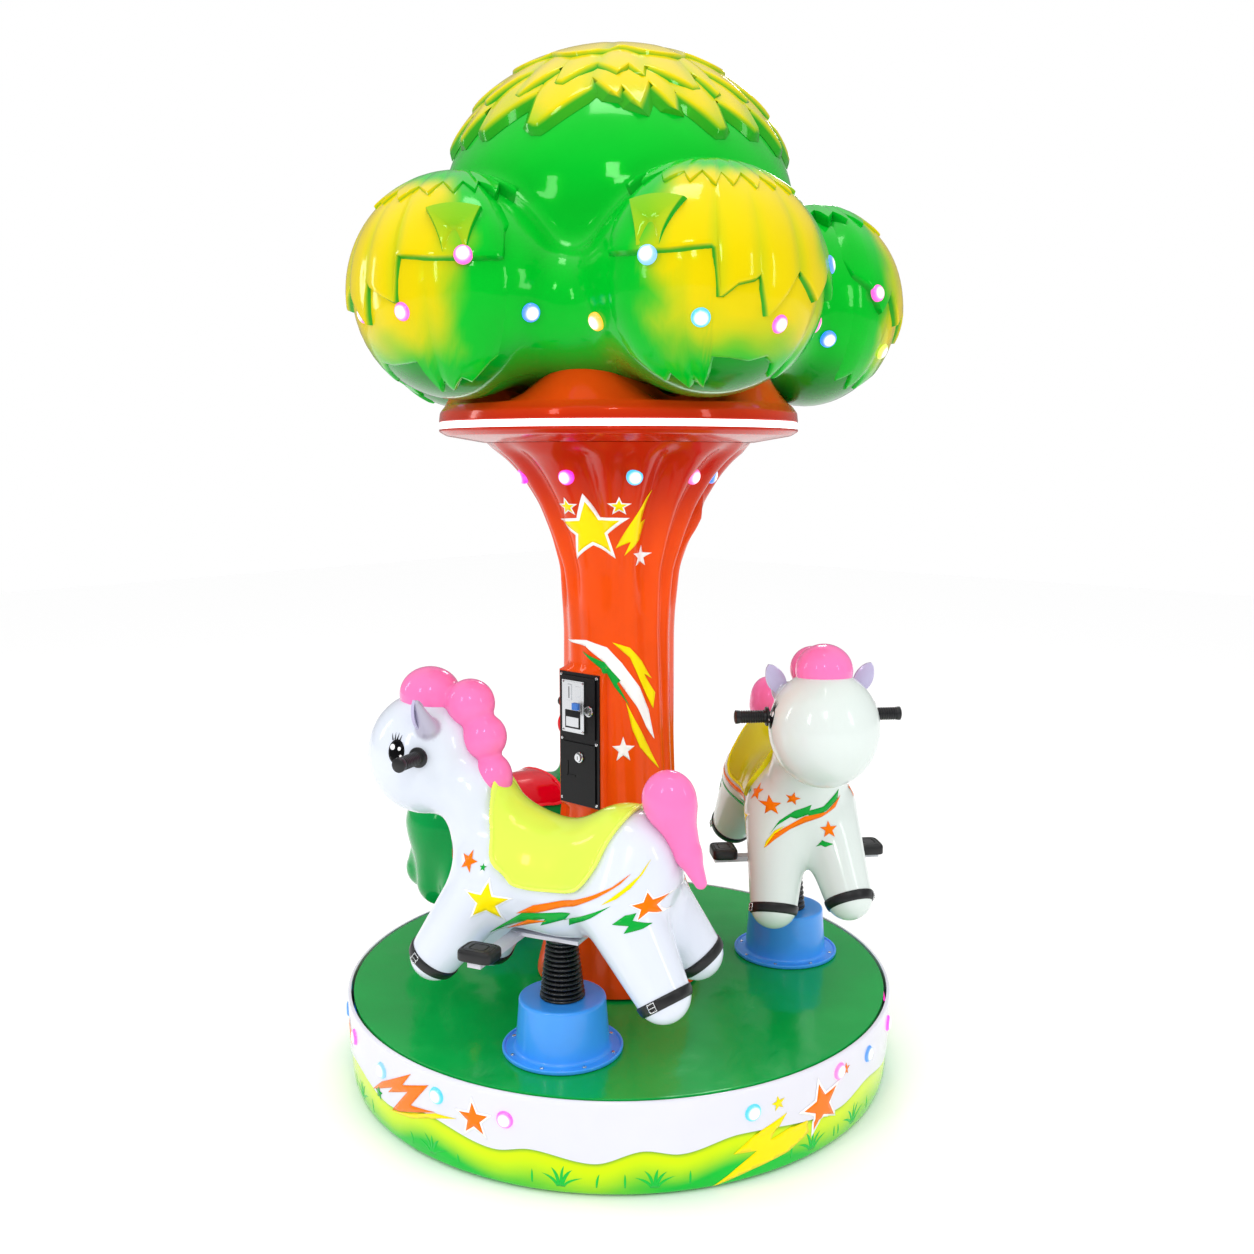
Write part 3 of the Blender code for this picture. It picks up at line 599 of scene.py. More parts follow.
@one_per_name
def lit_dome(name, colour, strength):
    """A polycarbonate lens over a lit diode: white-hot in the middle, coloured at the rim."""
    material, tree, shader = shader_of(name, 0.25, IOR=1.58, Coat_Weight=0.5)
    rim = add_node(tree, "ShaderNodeAttribute", attribute_name="spray").outputs["Fac"]
    ends = {"Factor": rim, 6: (1.0, 1.0, 1.0, 1.0), 7: tuple(colour)}
    tone = add_node(tree, "ShaderNodeMix", ends, data_type="RGBA")
    shader.inputs["Base Color"].default_value = (0.10, 0.10, 0.10, 1.0)
    tree.links.new(tone.outputs[2], shader.inputs["Emission Color"])
    shader.inputs["Emission Strength"].default_value = strength
    return material


DOME_COLOURS = {
    "pink": "FF3CC0", "magenta": "FF10D0", "rose": "FF62B8", "blue": "1E78FF", "cyan": "08B4E8",
    "ice": "6CB0FF", "amber": "FFB000", "lime": "C8F040",
}


# Light domes


def light_dome(place, facing, colour, radius, rise):
    """A lens cap on a thin ring: a flattened half ball about the facing direction."""
    facing = np.asarray(facing, float)
    facing = facing / np.linalg.norm(facing)
    spare = np.array([0, 0, 1.0]) if abs(facing[2]) < 0.9 else np.array([1.0, 0, 0])
    side = np.cross(spare, facing)
    side /= np.linalg.norm(side)
    up = np.cross(facing, side)
    tilt = np.radians(np.array([90, 90, 84, 74, 62, 50, 38, 26, 13]))
    out = radius * np.sin(tilt)
    lift = rise * np.cos(tilt)
    lift[0] = -0.004
    angle = np.linspace(0, 2 * np.pi, 24, endpoint=False)
    ring = np.cos(angle)[:, None] * side + np.sin(angle)[:, None] * up
    points = np.asarray(place) + out[:, None, None] * ring + lift[:, None, None] * facing
    edge = smoothstep(0.45, 0.85, out / radius)[:, None]
    return grid(points, slot=list(DOME_COLOURS).index(colour), spray=edge)


# Crown

# the bare form inside a lobe's leaves: outward, sideways and upward half sizes
LOBE_CORE = np.array([LOBE_R, LOBE_HALF_WIDTH, LOBE_HALF_HEIGHT]) - 0.020
# leaf edges: degrees round a lobe from its outward side, and degrees down from its top
UPPER_EDGE = (
    (-180, 55), (-84, 60), (-77, 66), (-73.5, 79), (-62, 80), (-40, 80), (-21.5, 78.5),
    (-19.5, 79), (-17.5, 101), (-10, 96), (-2, 93), (0.5, 90), (6, 109), (9.5, 106), (22, 88),
    (36, 100), (48, 85), (58, 97), (67, 83), (77, 76), (86, 62), (180, 55),
)
LOWER_EDGE = (
    (-180, 120), (-86, 126), (-73, 134), (-63, 149), (-52, 143), (-43, 156), (-34, 147),
    (-26, 157), (-22, 142), (-20, 133), (-8, 132), (6, 134), (17, 131), (27, 136), (38, 144),
    (44, 133), (56, 145), (64, 134), (76, 140), (88, 128), (180, 120),
)
# the cap's lowest edge: degrees round from the front, and degrees down from the top
CAP_FRONT = ((-9.5, 50), (-0.5, 60), (1, 55.5), (6.5, 64.5), (10.5, 53), (18, 64), (19.3, 56))
CAP_TIERS = (
    # plates' ends to the right, to the left, high and low edge, height over the dome in mm
    (
        (19.5, 34.6, 51, 68, 86, 103, 121, 138, 155), (9.5, 28.2, 50.2, 63, 79, 96, 113, 131, 149),
        56.5, 67, 11,
    ),
    ((10, 29, 37.5, 56, 75, 95, 116, 137, 158), (8, 22.3, 38, 57, 77, 97, 119, 140, 161), 44, 53.5, 18),
)
FRONT_DEG = -47.9


def wander(points, size):
    """A slow wobble between -1 and 1 over that many metres: three sine products, added."""
    x, y, z = (points / size * 2 * np.pi).T
    first = np.sin(x + 1.3) * np.sin(y * 0.8 + 0.4) * np.cos(z * 0.9)
    second = np.sin(x * 1.9 + 2.0 * z) * np.cos(y * 1.7 - 0.6)
    third = np.sin(z * 2.3 - x * 0.7 + 1.1) * np.sin(y * 2.1 + 0.9)
    return 0.5 * first + 0.3 * second + 0.2 * third


def lobe_centre(i):
    return around_z(LOBE_RING_R, np.radians(LOBE_FIRST_DEG + 360 / LOBES * i), LOBE_Z)


def lobe_frame(i):
    """The matrix whose rows are a lobe's outward, sideways and upward directions."""
    return turn_z(LOBE_FIRST_DEG + 360 / LOBES * i)


def on_ball(radii, azimuth, polar, height):
    """Points over an ellipsoid, at degrees round it and down it, and their normals.

    A direction d gives the point r d on the ellipsoid of half sizes r; the normal there is
    d/r made unit long, and the height is measured along it.
    """
    azimuth, polar, height = np.broadcast_arrays(azimuth, polar, height)
    down = np.radians(polar)
    facing = around_z(np.sin(down), np.radians(azimuth), np.cos(down))
    normal = facing / radii
    normal /= np.linalg.norm(normal, axis=-1)[..., None]
    return facing * radii + normal * height[..., None], normal


def on_lobe(i, azimuth, polar, height):
    """Points over lobe i's bare form and their normals, as on_ball gives them."""
    local, normal = on_ball(LOBE_CORE, azimuth, polar, height)
    return lobe_centre(i) + local @ lobe_frame(i), normal @ lobe_frame(i)


def crown_field():
    """The crown's bare form: lobes that run into each other, joined with a dome."""

    def field(p):
        lobes = None
        for i in range(LOBES):
            one = ball((p - lobe_centre(i)) @ lobe_frame(i).T, 0, LOBE_CORE)
            lobes = one if lobes is None else blended(lobes, one, 0.15)
        dome = ball(p, (0, 0, DOME_Z), (DOME_R - 0.006, DOME_R - 0.006, DOME_HALF_HEIGHT - 0.006))
        dome = blended(dome, ball(p, (0, 0, DRUM_Z), DRUM_HALF), 0.05)
        web = ball(p, (0, 0, LOBE_Z - 0.045), WEB_HALF)
        return blended(blended(lobes, web, 0.05), dome, 0.045)

    return field


def seated(field, place, out):
    """A place moved outward on to a form's surface, and the surface's normal there."""
    reach = np.linspace(-0.010, 0.110, 121)
    inside = np.flatnonzero(field(place + reach[:, None] * out) < 0)
    place = place + out * (reach[inside[-1]] if len(inside) else 0.0)
    out = slope(field, place[None], 0.002)[0]
    return place, out / np.linalg.norm(out)


def leaf_edge(rng, tips, notch_at, tip_at, uneven):
    """(azimuth, polar angle) knots of a row of leaf points, notch and tip by turns, in degrees."""
    width = rng.uniform(0.7, 1.3, tips)
    width *= 360 / width.sum()
    right = np.cumsum(width)
    middle = right - width * rng.uniform(0.35, 0.65, tips)
    knots = np.empty((2 * tips, 2))
    knots[0::2, 0] = middle
    knots[1::2, 0] = right
    knots[0::2, 1] = tip_at + rng.uniform(-uneven, uneven, tips)
    knots[1::2, 1] = notch_at + rng.uniform(-uneven, uneven, tips)
    return knots


def leaf_sheet(place, knots, offset, paint, keep, folds=(), rows=22, wall=3.0):
    """A closed shell of leaves that hugs a round form from its top down to a jagged edge.

    place(azimuth, polar, height) gives points over the form. A row lies at a share s of the
    edge's polar angle. Its height is the offset, less a soft groove that runs up from each
    fold, plus a lip at the edge. Where keep falls to 0 the shell sinks under the form. A
    wall then turns under, and the inner side returns to the top.
    """
    knots = np.asarray(knots, float)
    knots = knots[np.argsort(knots[:, 0])]
    at, polar = knots.T
    azimuth = np.unique(np.concatenate([np.arange(-180, 180, 2.4), at[at < 180]]).round(3))
    edge = np.interp(azimuth, at, polar, period=360)
    share = np.concatenate([np.linspace(0.03, 0.93, rows - 3), [0.97, 0.99, 1.0]])[:, None]
    kept = keep(azimuth)[None]
    groove = np.zeros_like(azimuth)
    for k, fold in enumerate(folds):
        apart = (azimuth - fold + 180) % 360 - 180
        groove = np.maximum(groove, (0.75 + 0.25 * np.sin(k * 2.4)) * np.exp(-((apart / 3.6) ** 2)))
    along = smoothstep(0.35, 0.97, share)
    rise = offset - 0.0050 * groove * along + 0.0015 * share**8 - 0.0012 * (share > 0.995)

    def over(s, edge_angle, height):
        return place(azimuth[None] + 0 * s, s * edge_angle, height * kept - 0.006 * (1 - kept))

    outer = over(share, edge, rise)
    one = np.ones((1, 1))
    near = np.sin(np.radians(edge))
    ahead = np.concatenate([azimuth[-1:] - 360, azimuth, azimuth[:1] + 360])
    fall = np.gradient(np.concatenate([edge[-1:], edge, edge[:1]]), ahead)[1:-1]
    length = np.hypot(fall, near)
    aside, down = -fall / length / near, near / length
    under = [
        place(
            (azimuth + wall * part * aside)[None] * one, edge + wall * part * down,
            (offset * (1 - part) - 0.005 * part) * kept - 0.007 * (1 - kept),
        )
        for part in (0.35, 0.75, 1.0)
    ]
    back = over(np.linspace(0.9, 0.03, 4)[:, None], edge - 1.0, -0.006)
    points = np.concatenate([outer, *under, back])
    sprayed = paint(points.reshape(-1, 3)).reshape(points.shape[:2])
    # painted shade: the grooves lose some yellow, and the walls and inner side lose nearly all of it and
    # take the darker painted shade
    sprayed[: len(outer)] *= 1 - 0.30 * groove * along
    sprayed[len(outer) :] *= 0.10
    shade = np.zeros_like(sprayed)
    shade[len(outer) :] = 0.45
    return grid(points, spray=sprayed, shade=shade)


def vase_leaf(i, middle, paint):
    """A raised leaf with a wide free top edge that narrows down to a light: a closed pad.

    Its half width is 6 + 9.5 (1 - v)^1.7 degrees and its top edge stands 32 mm over the
    bare form, with v from 0 at the top to 1 at the foot.
    """
    v = np.linspace(0, 1, 13)
    half = 6 + 9.5 * (1 - v) ** 1.7
    top = np.linspace(-1, 1, 9)[1:-1]
    azimuth = np.concatenate([-half[::-1], top * half[0], half])
    down = np.concatenate([v[::-1], -0.10 * (1 - top**2), v])
    share = np.array([0.12, 0.4, 0.65, 0.82, 0.90, 0.95, 1.12, 0.6, 0.12])[:, None]
    raised = np.array([1, 1, 1, 1, 1, 0.85, 0, 0, 0.0])[:, None]
    high = 0.0185 + 0.0135 * (1 - np.clip(down, 0, 1)) ** 0.8
    hollow = -0.008 * np.exp(-((share / 0.5) ** 2))
    height = raised * (high + hollow) + (1 - raised) * 0.008
    points, _ = on_lobe(i, middle + share * azimuth, 68 + share * (57 + 23 * down - 68), height)
    own = paint(points.reshape(-1, 3)).reshape(points.shape[:2])
    # painted shade: the sides take no yellow and the darker painted shade
    sprayed = (0.25 * own + 0.45) * (raised > 0.9) * (0.6 + 0.4 * down)
    return grid(points, spray=np.clip(sprayed, 0, 1), shade=np.where(raised > 0.9, 0, 0.4))


def lobe_spray(points):
    """How yellow the crown is: a soft-edged patch on each lobe's outward side."""
    best = np.full(len(points), 9.0)
    spray = np.zeros(len(points))
    for i in range(LOBES):
        q = (points - lobe_centre(i)) @ lobe_frame(i).T / LOBE_CORE
        far = np.linalg.norm(q, axis=1)
        azimuth = np.degrees(np.arctan2(q[:, 1], q[:, 0]))
        polar = np.degrees(np.arccos(np.clip(q[:, 2] / far, -1, 1)))
        drift = wander(points, 0.24)
        patch = 1 - smoothstep(33, 58, np.abs(azimuth) + 9 * drift)
        patch *= smoothstep(27, 42, polar + 4 * drift)
        patch *= 1 - smoothstep(108, 137, polar + 9 * drift)
        near = far < best
        spray = np.where(near, patch, spray)
        best = np.minimum(best, far)
    return spray


def cap_spray(points):
    """How yellow the cap is: most of it, greener toward its lowest plates, in soft patches."""
    height = (points[:, 2] - DOME_Z) / DOME_HALF_HEIGHT
    return 0.35 + 0.65 * smoothstep(0.22, 0.62, height + 0.22 * wander(points, 0.30))


def cap_edge(rng, tier):
    """A saw-tooth edge: each plate's end nearer the front is high and its far end low."""
    right, left, high, low, _ = tier
    knots = list(CAP_FRONT) if low > 60 else [(-7, high), (0, low - 4), (4, high + 1), (9, low - 3)]
    for ends, side in ((right, 1), (left, -1)):
        for start, stop in zip(ends[:-1], ends[1:]):
            top = high + rng.uniform(-1.5, 2.0)
            bottom = low + rng.uniform(-2.0, 3.0)
            blunt = side * (stop - 0.16 * (stop - start))
            knots += [(side * (start + 0.3), top), (blunt, bottom), (side * (stop - 0.2), bottom - 1)]
    knots += [(162.5, low - 3), (166, high), (173, low - 5), (179, high + 1), (-172, low - 4), (-166, high)]
    return [((a + FRONT_DEG + 180) % 360 - 180, p) for a, p in knots]


def everywhere(azimuth):
    """Leaves that stand at full height all the way round."""
    return np.ones(len(azimuth))


def crown_pieces(settings):
    low, high = (-0.70, -0.70, LOBE_Z - 0.27), (0.70, 0.70, DOME_Z + DOME_HALF_HEIGHT + 0.03)
    core = skin(crown_field(), low, high, 0.0105)
    # painted shade: the core turns a darker green on its underside, below the lobes
    under = smoothstep(LOBE_Z - 0.09, LOBE_Z - 0.19, core.points[:, 2])
    core.paint = {"spray": 0 * under, "shade": under}
    leaf = gel_coat(
        "sprayed_gel_coat_leaf", settings.green, settings.yellow, ripple=1.0,
        marks=("shade", toned(settings.green, 0.42)),
    )
    make_piece("crown_core", [core], [leaf], "base", ["crown_canopy"], "crown_paint", 60)

    def kept(azimuth):
        return 1 - smoothstep(64, 92, np.abs(azimuth))

    leaves = []
    for i in range(LOBES):
        rng = np.random.default_rng(100 + i)
        side = -1 if i % 2 else 1

        def over(azimuth, polar, height, i=i):
            return on_lobe(i, azimuth, polar, height)[0]

        lower, upper = (np.array(edge, float) * [-side, 1] for edge in (LOWER_EDGE, UPPER_EDGE))
        for edge in (lower, upper):
            edge[:, 1] += rng.uniform(-1.2, 1.2, len(edge))
        teeth = leaf_edge(rng, 21, 31, 41, 1.5)
        teeth[:, 0] = (teeth[:, 0] + 180) % 360 - 180
        teeth[:, 1] += 7 * np.cos(np.radians(teeth[:, 0]))
        folds = -side * np.array([0.5, 22.0, 48.0, -19.0])
        high = settings.leaf_rise
        leaves += [
            leaf_sheet(over, lower, 0.0045, lobe_spray, kept, -side * np.array([44.0, -34.0])),
            leaf_sheet(over, upper, high, lobe_spray, kept, folds, 26),
            leaf_sheet(over, teeth, high + 0.0050, lobe_spray, everywhere, teeth[1::2, 0], 14, 2.2),
            vase_leaf(i, side * 50.0, lobe_spray),
        ]
    make_piece("crown_leaves", leaves, [leaf], "base", ["crown_canopy"], "crown_paint", 34)

    radii = np.array([DOME_R, DOME_R, DOME_HALF_HEIGHT])

    def over_dome(azimuth, polar, height):
        return on_ball(radii, azimuth, polar, height)[0] + [0, 0, DOME_Z]

    cap = []
    rng = np.random.default_rng(500)
    for tier in CAP_TIERS:
        folds = [side * a + FRONT_DEG for side, ends in ((1, tier[0]), (-1, tier[1])) for a in ends]
        edge = cap_edge(rng, tier)
        cap.append(leaf_sheet(over_dome, edge, tier[4] * MM, cap_spray, everywhere, folds, wall=3.2))
    around = np.arange(-180, 180, 4.0)
    crest = np.stack([around, 30 + 7 * np.abs(np.sin(np.radians(around * 4.5 + 30))) ** 0.7], 1)
    folds = np.arange(-173, 180, 40.0)
    cap.append(leaf_sheet(over_dome, crest, settings.crest_rise, cap_spray, everywhere, folds, 16, 2.6))
    make_piece("crown_cap_leaves", cap, [leaf], "base", ["crown_cap"], "cap_paint", 34)


# Column

# the column's heights over the deck and its radii there
COLUMN = (
    (0.0, 0.203), (0.014, 0.203), (0.060, 0.188), (0.140, 0.170), (0.280, 0.150), (0.440, 0.136),
    (0.600, 0.131), (0.850, 0.130), (1.000, 0.138), (1.075, 0.160), (1.150, 0.190), (1.215, 0.230),
    (1.258, 0.268), (1.289, 0.316),
)
# the flat face round the coin panel
FACE_Y = -0.1379
FACE_X = (-0.064, 0.070)
FACE_Z = (0.441, 0.764)
# a fold's azimuth, its width in degrees, and its depth in mm at the foot, middle and flare
FOLDS = (
    (-148, 7, 8, 3, 9), (-121, 8, 6, 2, 12), (-96, 6, 0, 2, 9), (-66, 7, 5, 1, 13), (-44, 6, 7, 3, 8),
    (-20, 7, 6, 3, 13), (6, 5, 8, 4, 8), (26, 6, 6, 2, 12), (52, 7, 8, 3, 9), (80, 8, 6, 3, 12),
    (104, 7, 8, 3, 8), (131, 8, 6, 2, 12), (158, 6, 8, 3, 9), (184, 7, 6, 3, 12),
)
# the azimuth of the branch stub
STUB_DEG = 38.0


def column_radius(azimuth, height):
    """The column's radius at an azimuth in degrees and a height over the deck.

    The smoothed profile, less soft folds, joined with a branch stub behind on the right,
    and pressed out to a flat face round the coin panel.
    """
    azimuth, height = np.broadcast_arrays(azimuth, height)
    at, radius = np.array(COLUMN).T
    fine = np.linspace(-0.03, 1.32, 676)
    smooth = np.interp(fine, at, radius)
    for _ in range(2):
        smooth = np.convolve(np.pad(smooth, 7, "edge"), np.ones(15) / 15, "valid")
    value = np.interp(height, fine, smooth)
    fade = smoothstep(0.0, 0.05, height) * (1 - smoothstep(1.262, 1.286, height))
    levels = [0.05, 0.16, 0.45, 0.9, 1.06, 1.20]
    for centre, width, foot, middle, flare in FOLDS:
        lean = 5 * np.sin(height * 5 + centre)
        apart = (azimuth - centre - lean + 180) % 360 - 180
        deep = np.interp(height, levels, [foot, foot, middle, middle, flare, flare])
        value = value - fade * 0.0016 * deep * np.exp(-((apart / width) ** 2))
        value = value + fade * 0.0005 * deep * np.exp(-(((np.abs(apart) - 2.1 * width) / width) ** 2))
    apart = (azimuth - STUB_DEG + 180) % 360 - 180
    levels = [0.96, 1.03, 1.09, 1.115, 1.165, 1.20]
    stub = np.interp(height, levels, [0.120, 0.148, 0.186, 0.198, 0.201, 0.19])
    stub = stub - 0.0000145 * np.abs(apart) ** 3 - 0.0009 * np.abs(apart + 5)
    value = -blended(-value, -stub, 0.012)
    flat = np.abs(FACE_Y) / np.maximum(np.sin(np.radians(-azimuth)), 0.3)
    across = flat * np.cos(np.radians(azimuth))
    sides = (across - FACE_X[0], FACE_X[1] - across, height - FACE_Z[0], FACE_Z[1] - height)
    front = (azimuth > -150) & (azimuth < -30)
    pressed = smoothstep(-0.010, 0.0, np.minimum.reduce(sides)) * front
    return value + (flat - value) * pressed


def column_pieces(settings):
    azimuth = np.arange(-180, 180, 1.0)
    height = np.concatenate([[0.006], np.arange(0.012, 1.284, 0.0095), [1.2885]])[:, None]
    points = around_z(column_radius(azimuth, height), np.radians(azimuth), DECK_Z + height)
    # painted shade: the column turns to the darker red toward the flare under the collar, and a little at
    # its foot by the deck
    dark = smoothstep(1.02, 1.24, height) + 0.25 * (1 - smoothstep(0.0, 0.16, height))
    surface = grid(points, spray=np.clip(dark, 0, 1))
    quads, *fans = surface.faces
    x, y, z = surface.points[quads].mean(1).T
    # the opening behind the coin housing
    hole = (y < -0.12) & (np.abs(x - 0.003) < 0.054) & (z > DECK_Z + 0.452) & (z < DECK_Z + 0.753)
    surface.faces = [quads[~hole], *fans]
    bark = gel_coat(
        "sprayed_gel_coat_bark", settings.orange, settings.shade, ripple=1.1, mottle=0.12, grain=0.09
    )
    # the foot down in the deck's hole is all the darker red, painted shade
    foot = lathe(rounded([(0.1445, 0.150 - DECK_Z), (0.1445, 0.0065)], 0.001) + [0, DECK_Z], spray=1.0)
    make_piece("column_shell", [surface, foot], [bark], "base", ["trunk"], "trunk_paint", 50)

    inset = COLLAR_R - 0.0085
    outline = rounded(
        [
            (0.000, 1.2893), (0.316, 1.2893), (0.362, 1.2975), (0.400, 1.304), (COLLAR_R, 1.314),
            (COLLAR_R, 1.3197), (inset, 1.3197), (inset, 1.3343), (COLLAR_R, 1.3343),
            (COLLAR_R - 0.0025, 1.356), (0.402, 1.372), (0.360, 1.400), (0.300, 1.440), (0.150, 1.455),
            (0.010, 1.460),
        ],
        0.004, 3,
    )
    turn = np.radians(np.arange(0, 360, 1.5))
    valley = np.radians(LOBE_FIRST_DEG + 180 / LOBES)
    radius, height = outline[:, :1], outline[:, 1:]
    wave = 0.052 * np.cos(LOBES * (turn - valley))
    risen = np.minimum(1, np.maximum(height - 1.372, 0) / 0.03)
    lift = wave * risen
    ridge = 0.004 * np.cos(15 * (turn - valley)) * risen
    points = around_z(radius, turn, DECK_Z + height + lift + ridge)
    # painted shade: the collar's lower part is the darker red
    collar = grid(points, spray=1 - smoothstep(1.330, 1.395, height + lift * 0.5))
    make_piece("collar_shell", [collar], [bark], "base", ["collar"], "collar_paint", 40)


# Platform

# the lower edge of the white band: azimuth and height over the deck
BAND_EDGE = (
    (-97, -0.128), (-86, -0.098), (-70.5, -0.126), (-63.7, -0.112), (-52.3, -0.131),
    (-43.5, -0.104), (-37.2, -0.116), (-26.3, -0.094), (-2, -0.122), (8, -0.106),
    (22, -0.128), (36, -0.100), (50, -0.124), (60, -0.110), (74, -0.130), (86, -0.100),
    (100, -0.122), (112, -0.104), (128, -0.128), (141, -0.097), (156, -0.124), (166, -0.108),
    (180, -0.129), (194, -0.102), (208, -0.122), (220, -0.105), (235, -0.128), (248, -0.108),
)
GRASS_TUFTS = (-84.8, -58.3, -41.7, -9.5, 3.5, 29, 47, 71, 93, 117, 135, 158, 181, 203, 226, 249)


def skirt_radius(z):
    """The skirt's outer radius at heights over the floor."""
    return np.interp(
        z, [0, 0.010, 0.030, DECK_Z - 0.012, DECK_Z - 0.002, DECK_Z],
        [0.640, 0.652, 0.656, SKIRT_R, SKIRT_R - 0.002, SKIRT_R - 0.005],
    )


def grass_blade(azimuth, foot, lean, tall, width):
    """One airbrushed blade: a tapered stroke that rises and bends over by its lean."""
    share = np.linspace(0, 1, 9)[:, None]
    across = np.array([-0.5, 0.0, 0.5])
    half = width * np.sin(np.pi * (0.12 + 0.88 * share) ** 0.8)
    along = lean * share**1.7 + half * across
    height = foot + tall * (share - 0.30 * share**2) - half * across * np.sign(lean) * share
    turn = azimuth + np.degrees(along / SKIRT_R)
    radius = skirt_reach(turn, height - DECK_Z) + 0.0003
    at = np.arange(24).reshape(8, 3)[:, :2]
    quads = np.stack([at, at + 1, at + 4, at + 3], -1).reshape(-1, 4)
    return Surface(around_z(radius, np.radians(turn), height).reshape(-1, 3), [quads], SLOTS["grass"])


def grass_blades():
    """Tufts of five blades round the foot of the skirt, with lone blades between them."""
    rng = np.random.default_rng(31)
    blades = []
    for tuft in GRASS_TUFTS:
        for lean, tall in ((-0.034, 0.034), (-0.017, 0.056), (0.003, 0.064), (0.019, 0.052), (0.036, 0.032)):
            drift, grow, wide = rng.uniform(-0.004, 0.004), rng.uniform(0.9, 1.12), rng.uniform(0.9, 1.15)
            start = tuft + lean * 18
            blades.append(grass_blade(start, 0.022, lean + drift, tall * grow, 0.0062 * wide))
        for side in (-5.2, 6.4):
            lean, tall = rng.uniform(-0.010, 0.012), rng.uniform(0.030, 0.050)
            blades.append(grass_blade(tuft + side, 0.024, lean, tall, 0.0048))
    return blades


def platform_pieces(settings):
    azimuth = np.arange(-180, 180, 0.6)
    turn = np.radians(azimuth)
    edge = DECK_Z + through(BAND_EDGE, azimuth)
    share = np.linspace(0, 1, 24)[:, None]
    height = 0.0005 + share * (edge + 0.006 - 0.0005)
    radius = skirt_radius(height) - GRASS_INSET
    drop = edge - height
    yellow = 1 - smoothstep(0.015, 0.085, drop)
    yellow = np.clip(yellow + 0.25 * np.sin(turn * SKIRT_R * 9 + 1) * (1 - yellow), 0, 1)
    # painted shadow: darker green just under the white band's edge
    shadow = 0.7 * (1 - smoothstep(0.0, 0.012, drop))
    # the first row comes twice, the first time 4 mm further in
    first = [0, *range(len(height))]
    inward = 0.004 * (np.arange(len(first)) == 0)[:, None]
    grass = grid(
        around_z(radius[first] - inward, turn, height[first]), False, False, spray=yellow[first],
        shade=shadow[first],
    )
    band_z = edge + np.linspace(0, 1, 12)[:, None] * (DECK_Z - 0.012 - edge)
    band_r = skirt_radius(band_z) - BAND_INSET
    rows = [(band_r[0] - 0.006, edge + 0.001), (band_r[0] - 0.0012, edge - 0.0004), *zip(band_r, band_z)]
    rows += [
        (SKIRT_R - BAND_INSET, DECK_Z - 0.006), (SKIRT_R - 0.0020, DECK_Z - 0.0022),
        (SKIRT_R - 0.0045, DECK_Z - 0.0004), (SKIRT_R - 0.0085, DECK_Z - 0.0002), (0.6515, DECK_Z - 0.0010),
        (0.6505, DECK_Z - 0.0400),
    ]
    band = grid(np.stack([around_z(r, turn, z) for r, z in rows]), False, False, 1)
    grass_paint = gel_coat(
        "airbrushed_gel_coat_grass", settings.grass_low, settings.grass_high, ripple=0.7,
        marks=("shade", linear("1E8A30")),
    )
    band_paint = gel_coat("white_gel_coat_band", settings.band, ripple=0.7, mottle=0.03)
    paints = [grass_paint, band_paint]
    make_piece("skirt_shell", [grass, band], paints, "base", ["base_skirt"], "skirt_paint", 50)

    outline = [(DECK_HOLE_R, DECK_Z - 0.030), (DECK_R, DECK_Z - 0.030), (DECK_R, DECK_Z), (0.640, DECK_Z)]
    inner = [(radius, DECK_Z) for radius in np.linspace(0.630, DECK_HOLE_R + 0.0005, 22)]
    deck = lathe([*rounded(outline, 0.003), *inner, outline[0]], 200, start=False, end=False)
    paint = gel_coat("green_gel_coat_deck", settings.deck, ripple=1.7, mottle=0.10, grain=0.16)
    make_piece("deck_shell", [deck], [paint], "turntable", ["deck"], "deck_paint", 50)


# Figures

# a form: ball or limb, the fillet that joins it to those before it, and its sizes
PONY_BODY = (
    (ball, 0.0, (0, 0, 0.376), (0.200, 0.106, 0.121)),
    (ball, 0.050, (0.125, 0, 0.400), (0.105, 0.103, 0.125)),
    (ball, 0.050, (-0.155, 0, 0.425), (0.113, 0.106, 0.120)),
    (ball, 0.050, (0.188, 0, 0.495), (0.066, 0.085, 0.105)),
    (ball, 0.050, (0.245, 0, 0.560), (0.075, 0.085, 0.070)),
    (ball, 0.026, (0.325, 0, 0.618), (0.130, 0.124, 0.134)),
    (limb, 0.040, (0.140, 0.055, 0.370), 0.080, (0.260, 0.085, 0.199), 0.056),
    (limb, 0.040, (0.130, -0.055, 0.370), 0.080, (0.225, -0.085, 0.172), 0.056),
    (limb, 0.040, (-0.150, 0.050, 0.370), 0.088, (-0.265, 0.085, 0.201), 0.057),
    (limb, 0.040, (-0.150, -0.050, 0.380), 0.088, (-0.272, -0.085, 0.226), 0.057),
)
PONY_EARS = (
    (limb, 0.0, (0.268, 0.086, 0.694), 0.023, (0.275, 0.116, 0.752), 0.006),
    (limb, 0.0, (0.268, -0.086, 0.694), 0.023, (0.275, -0.116, 0.752), 0.006),
)
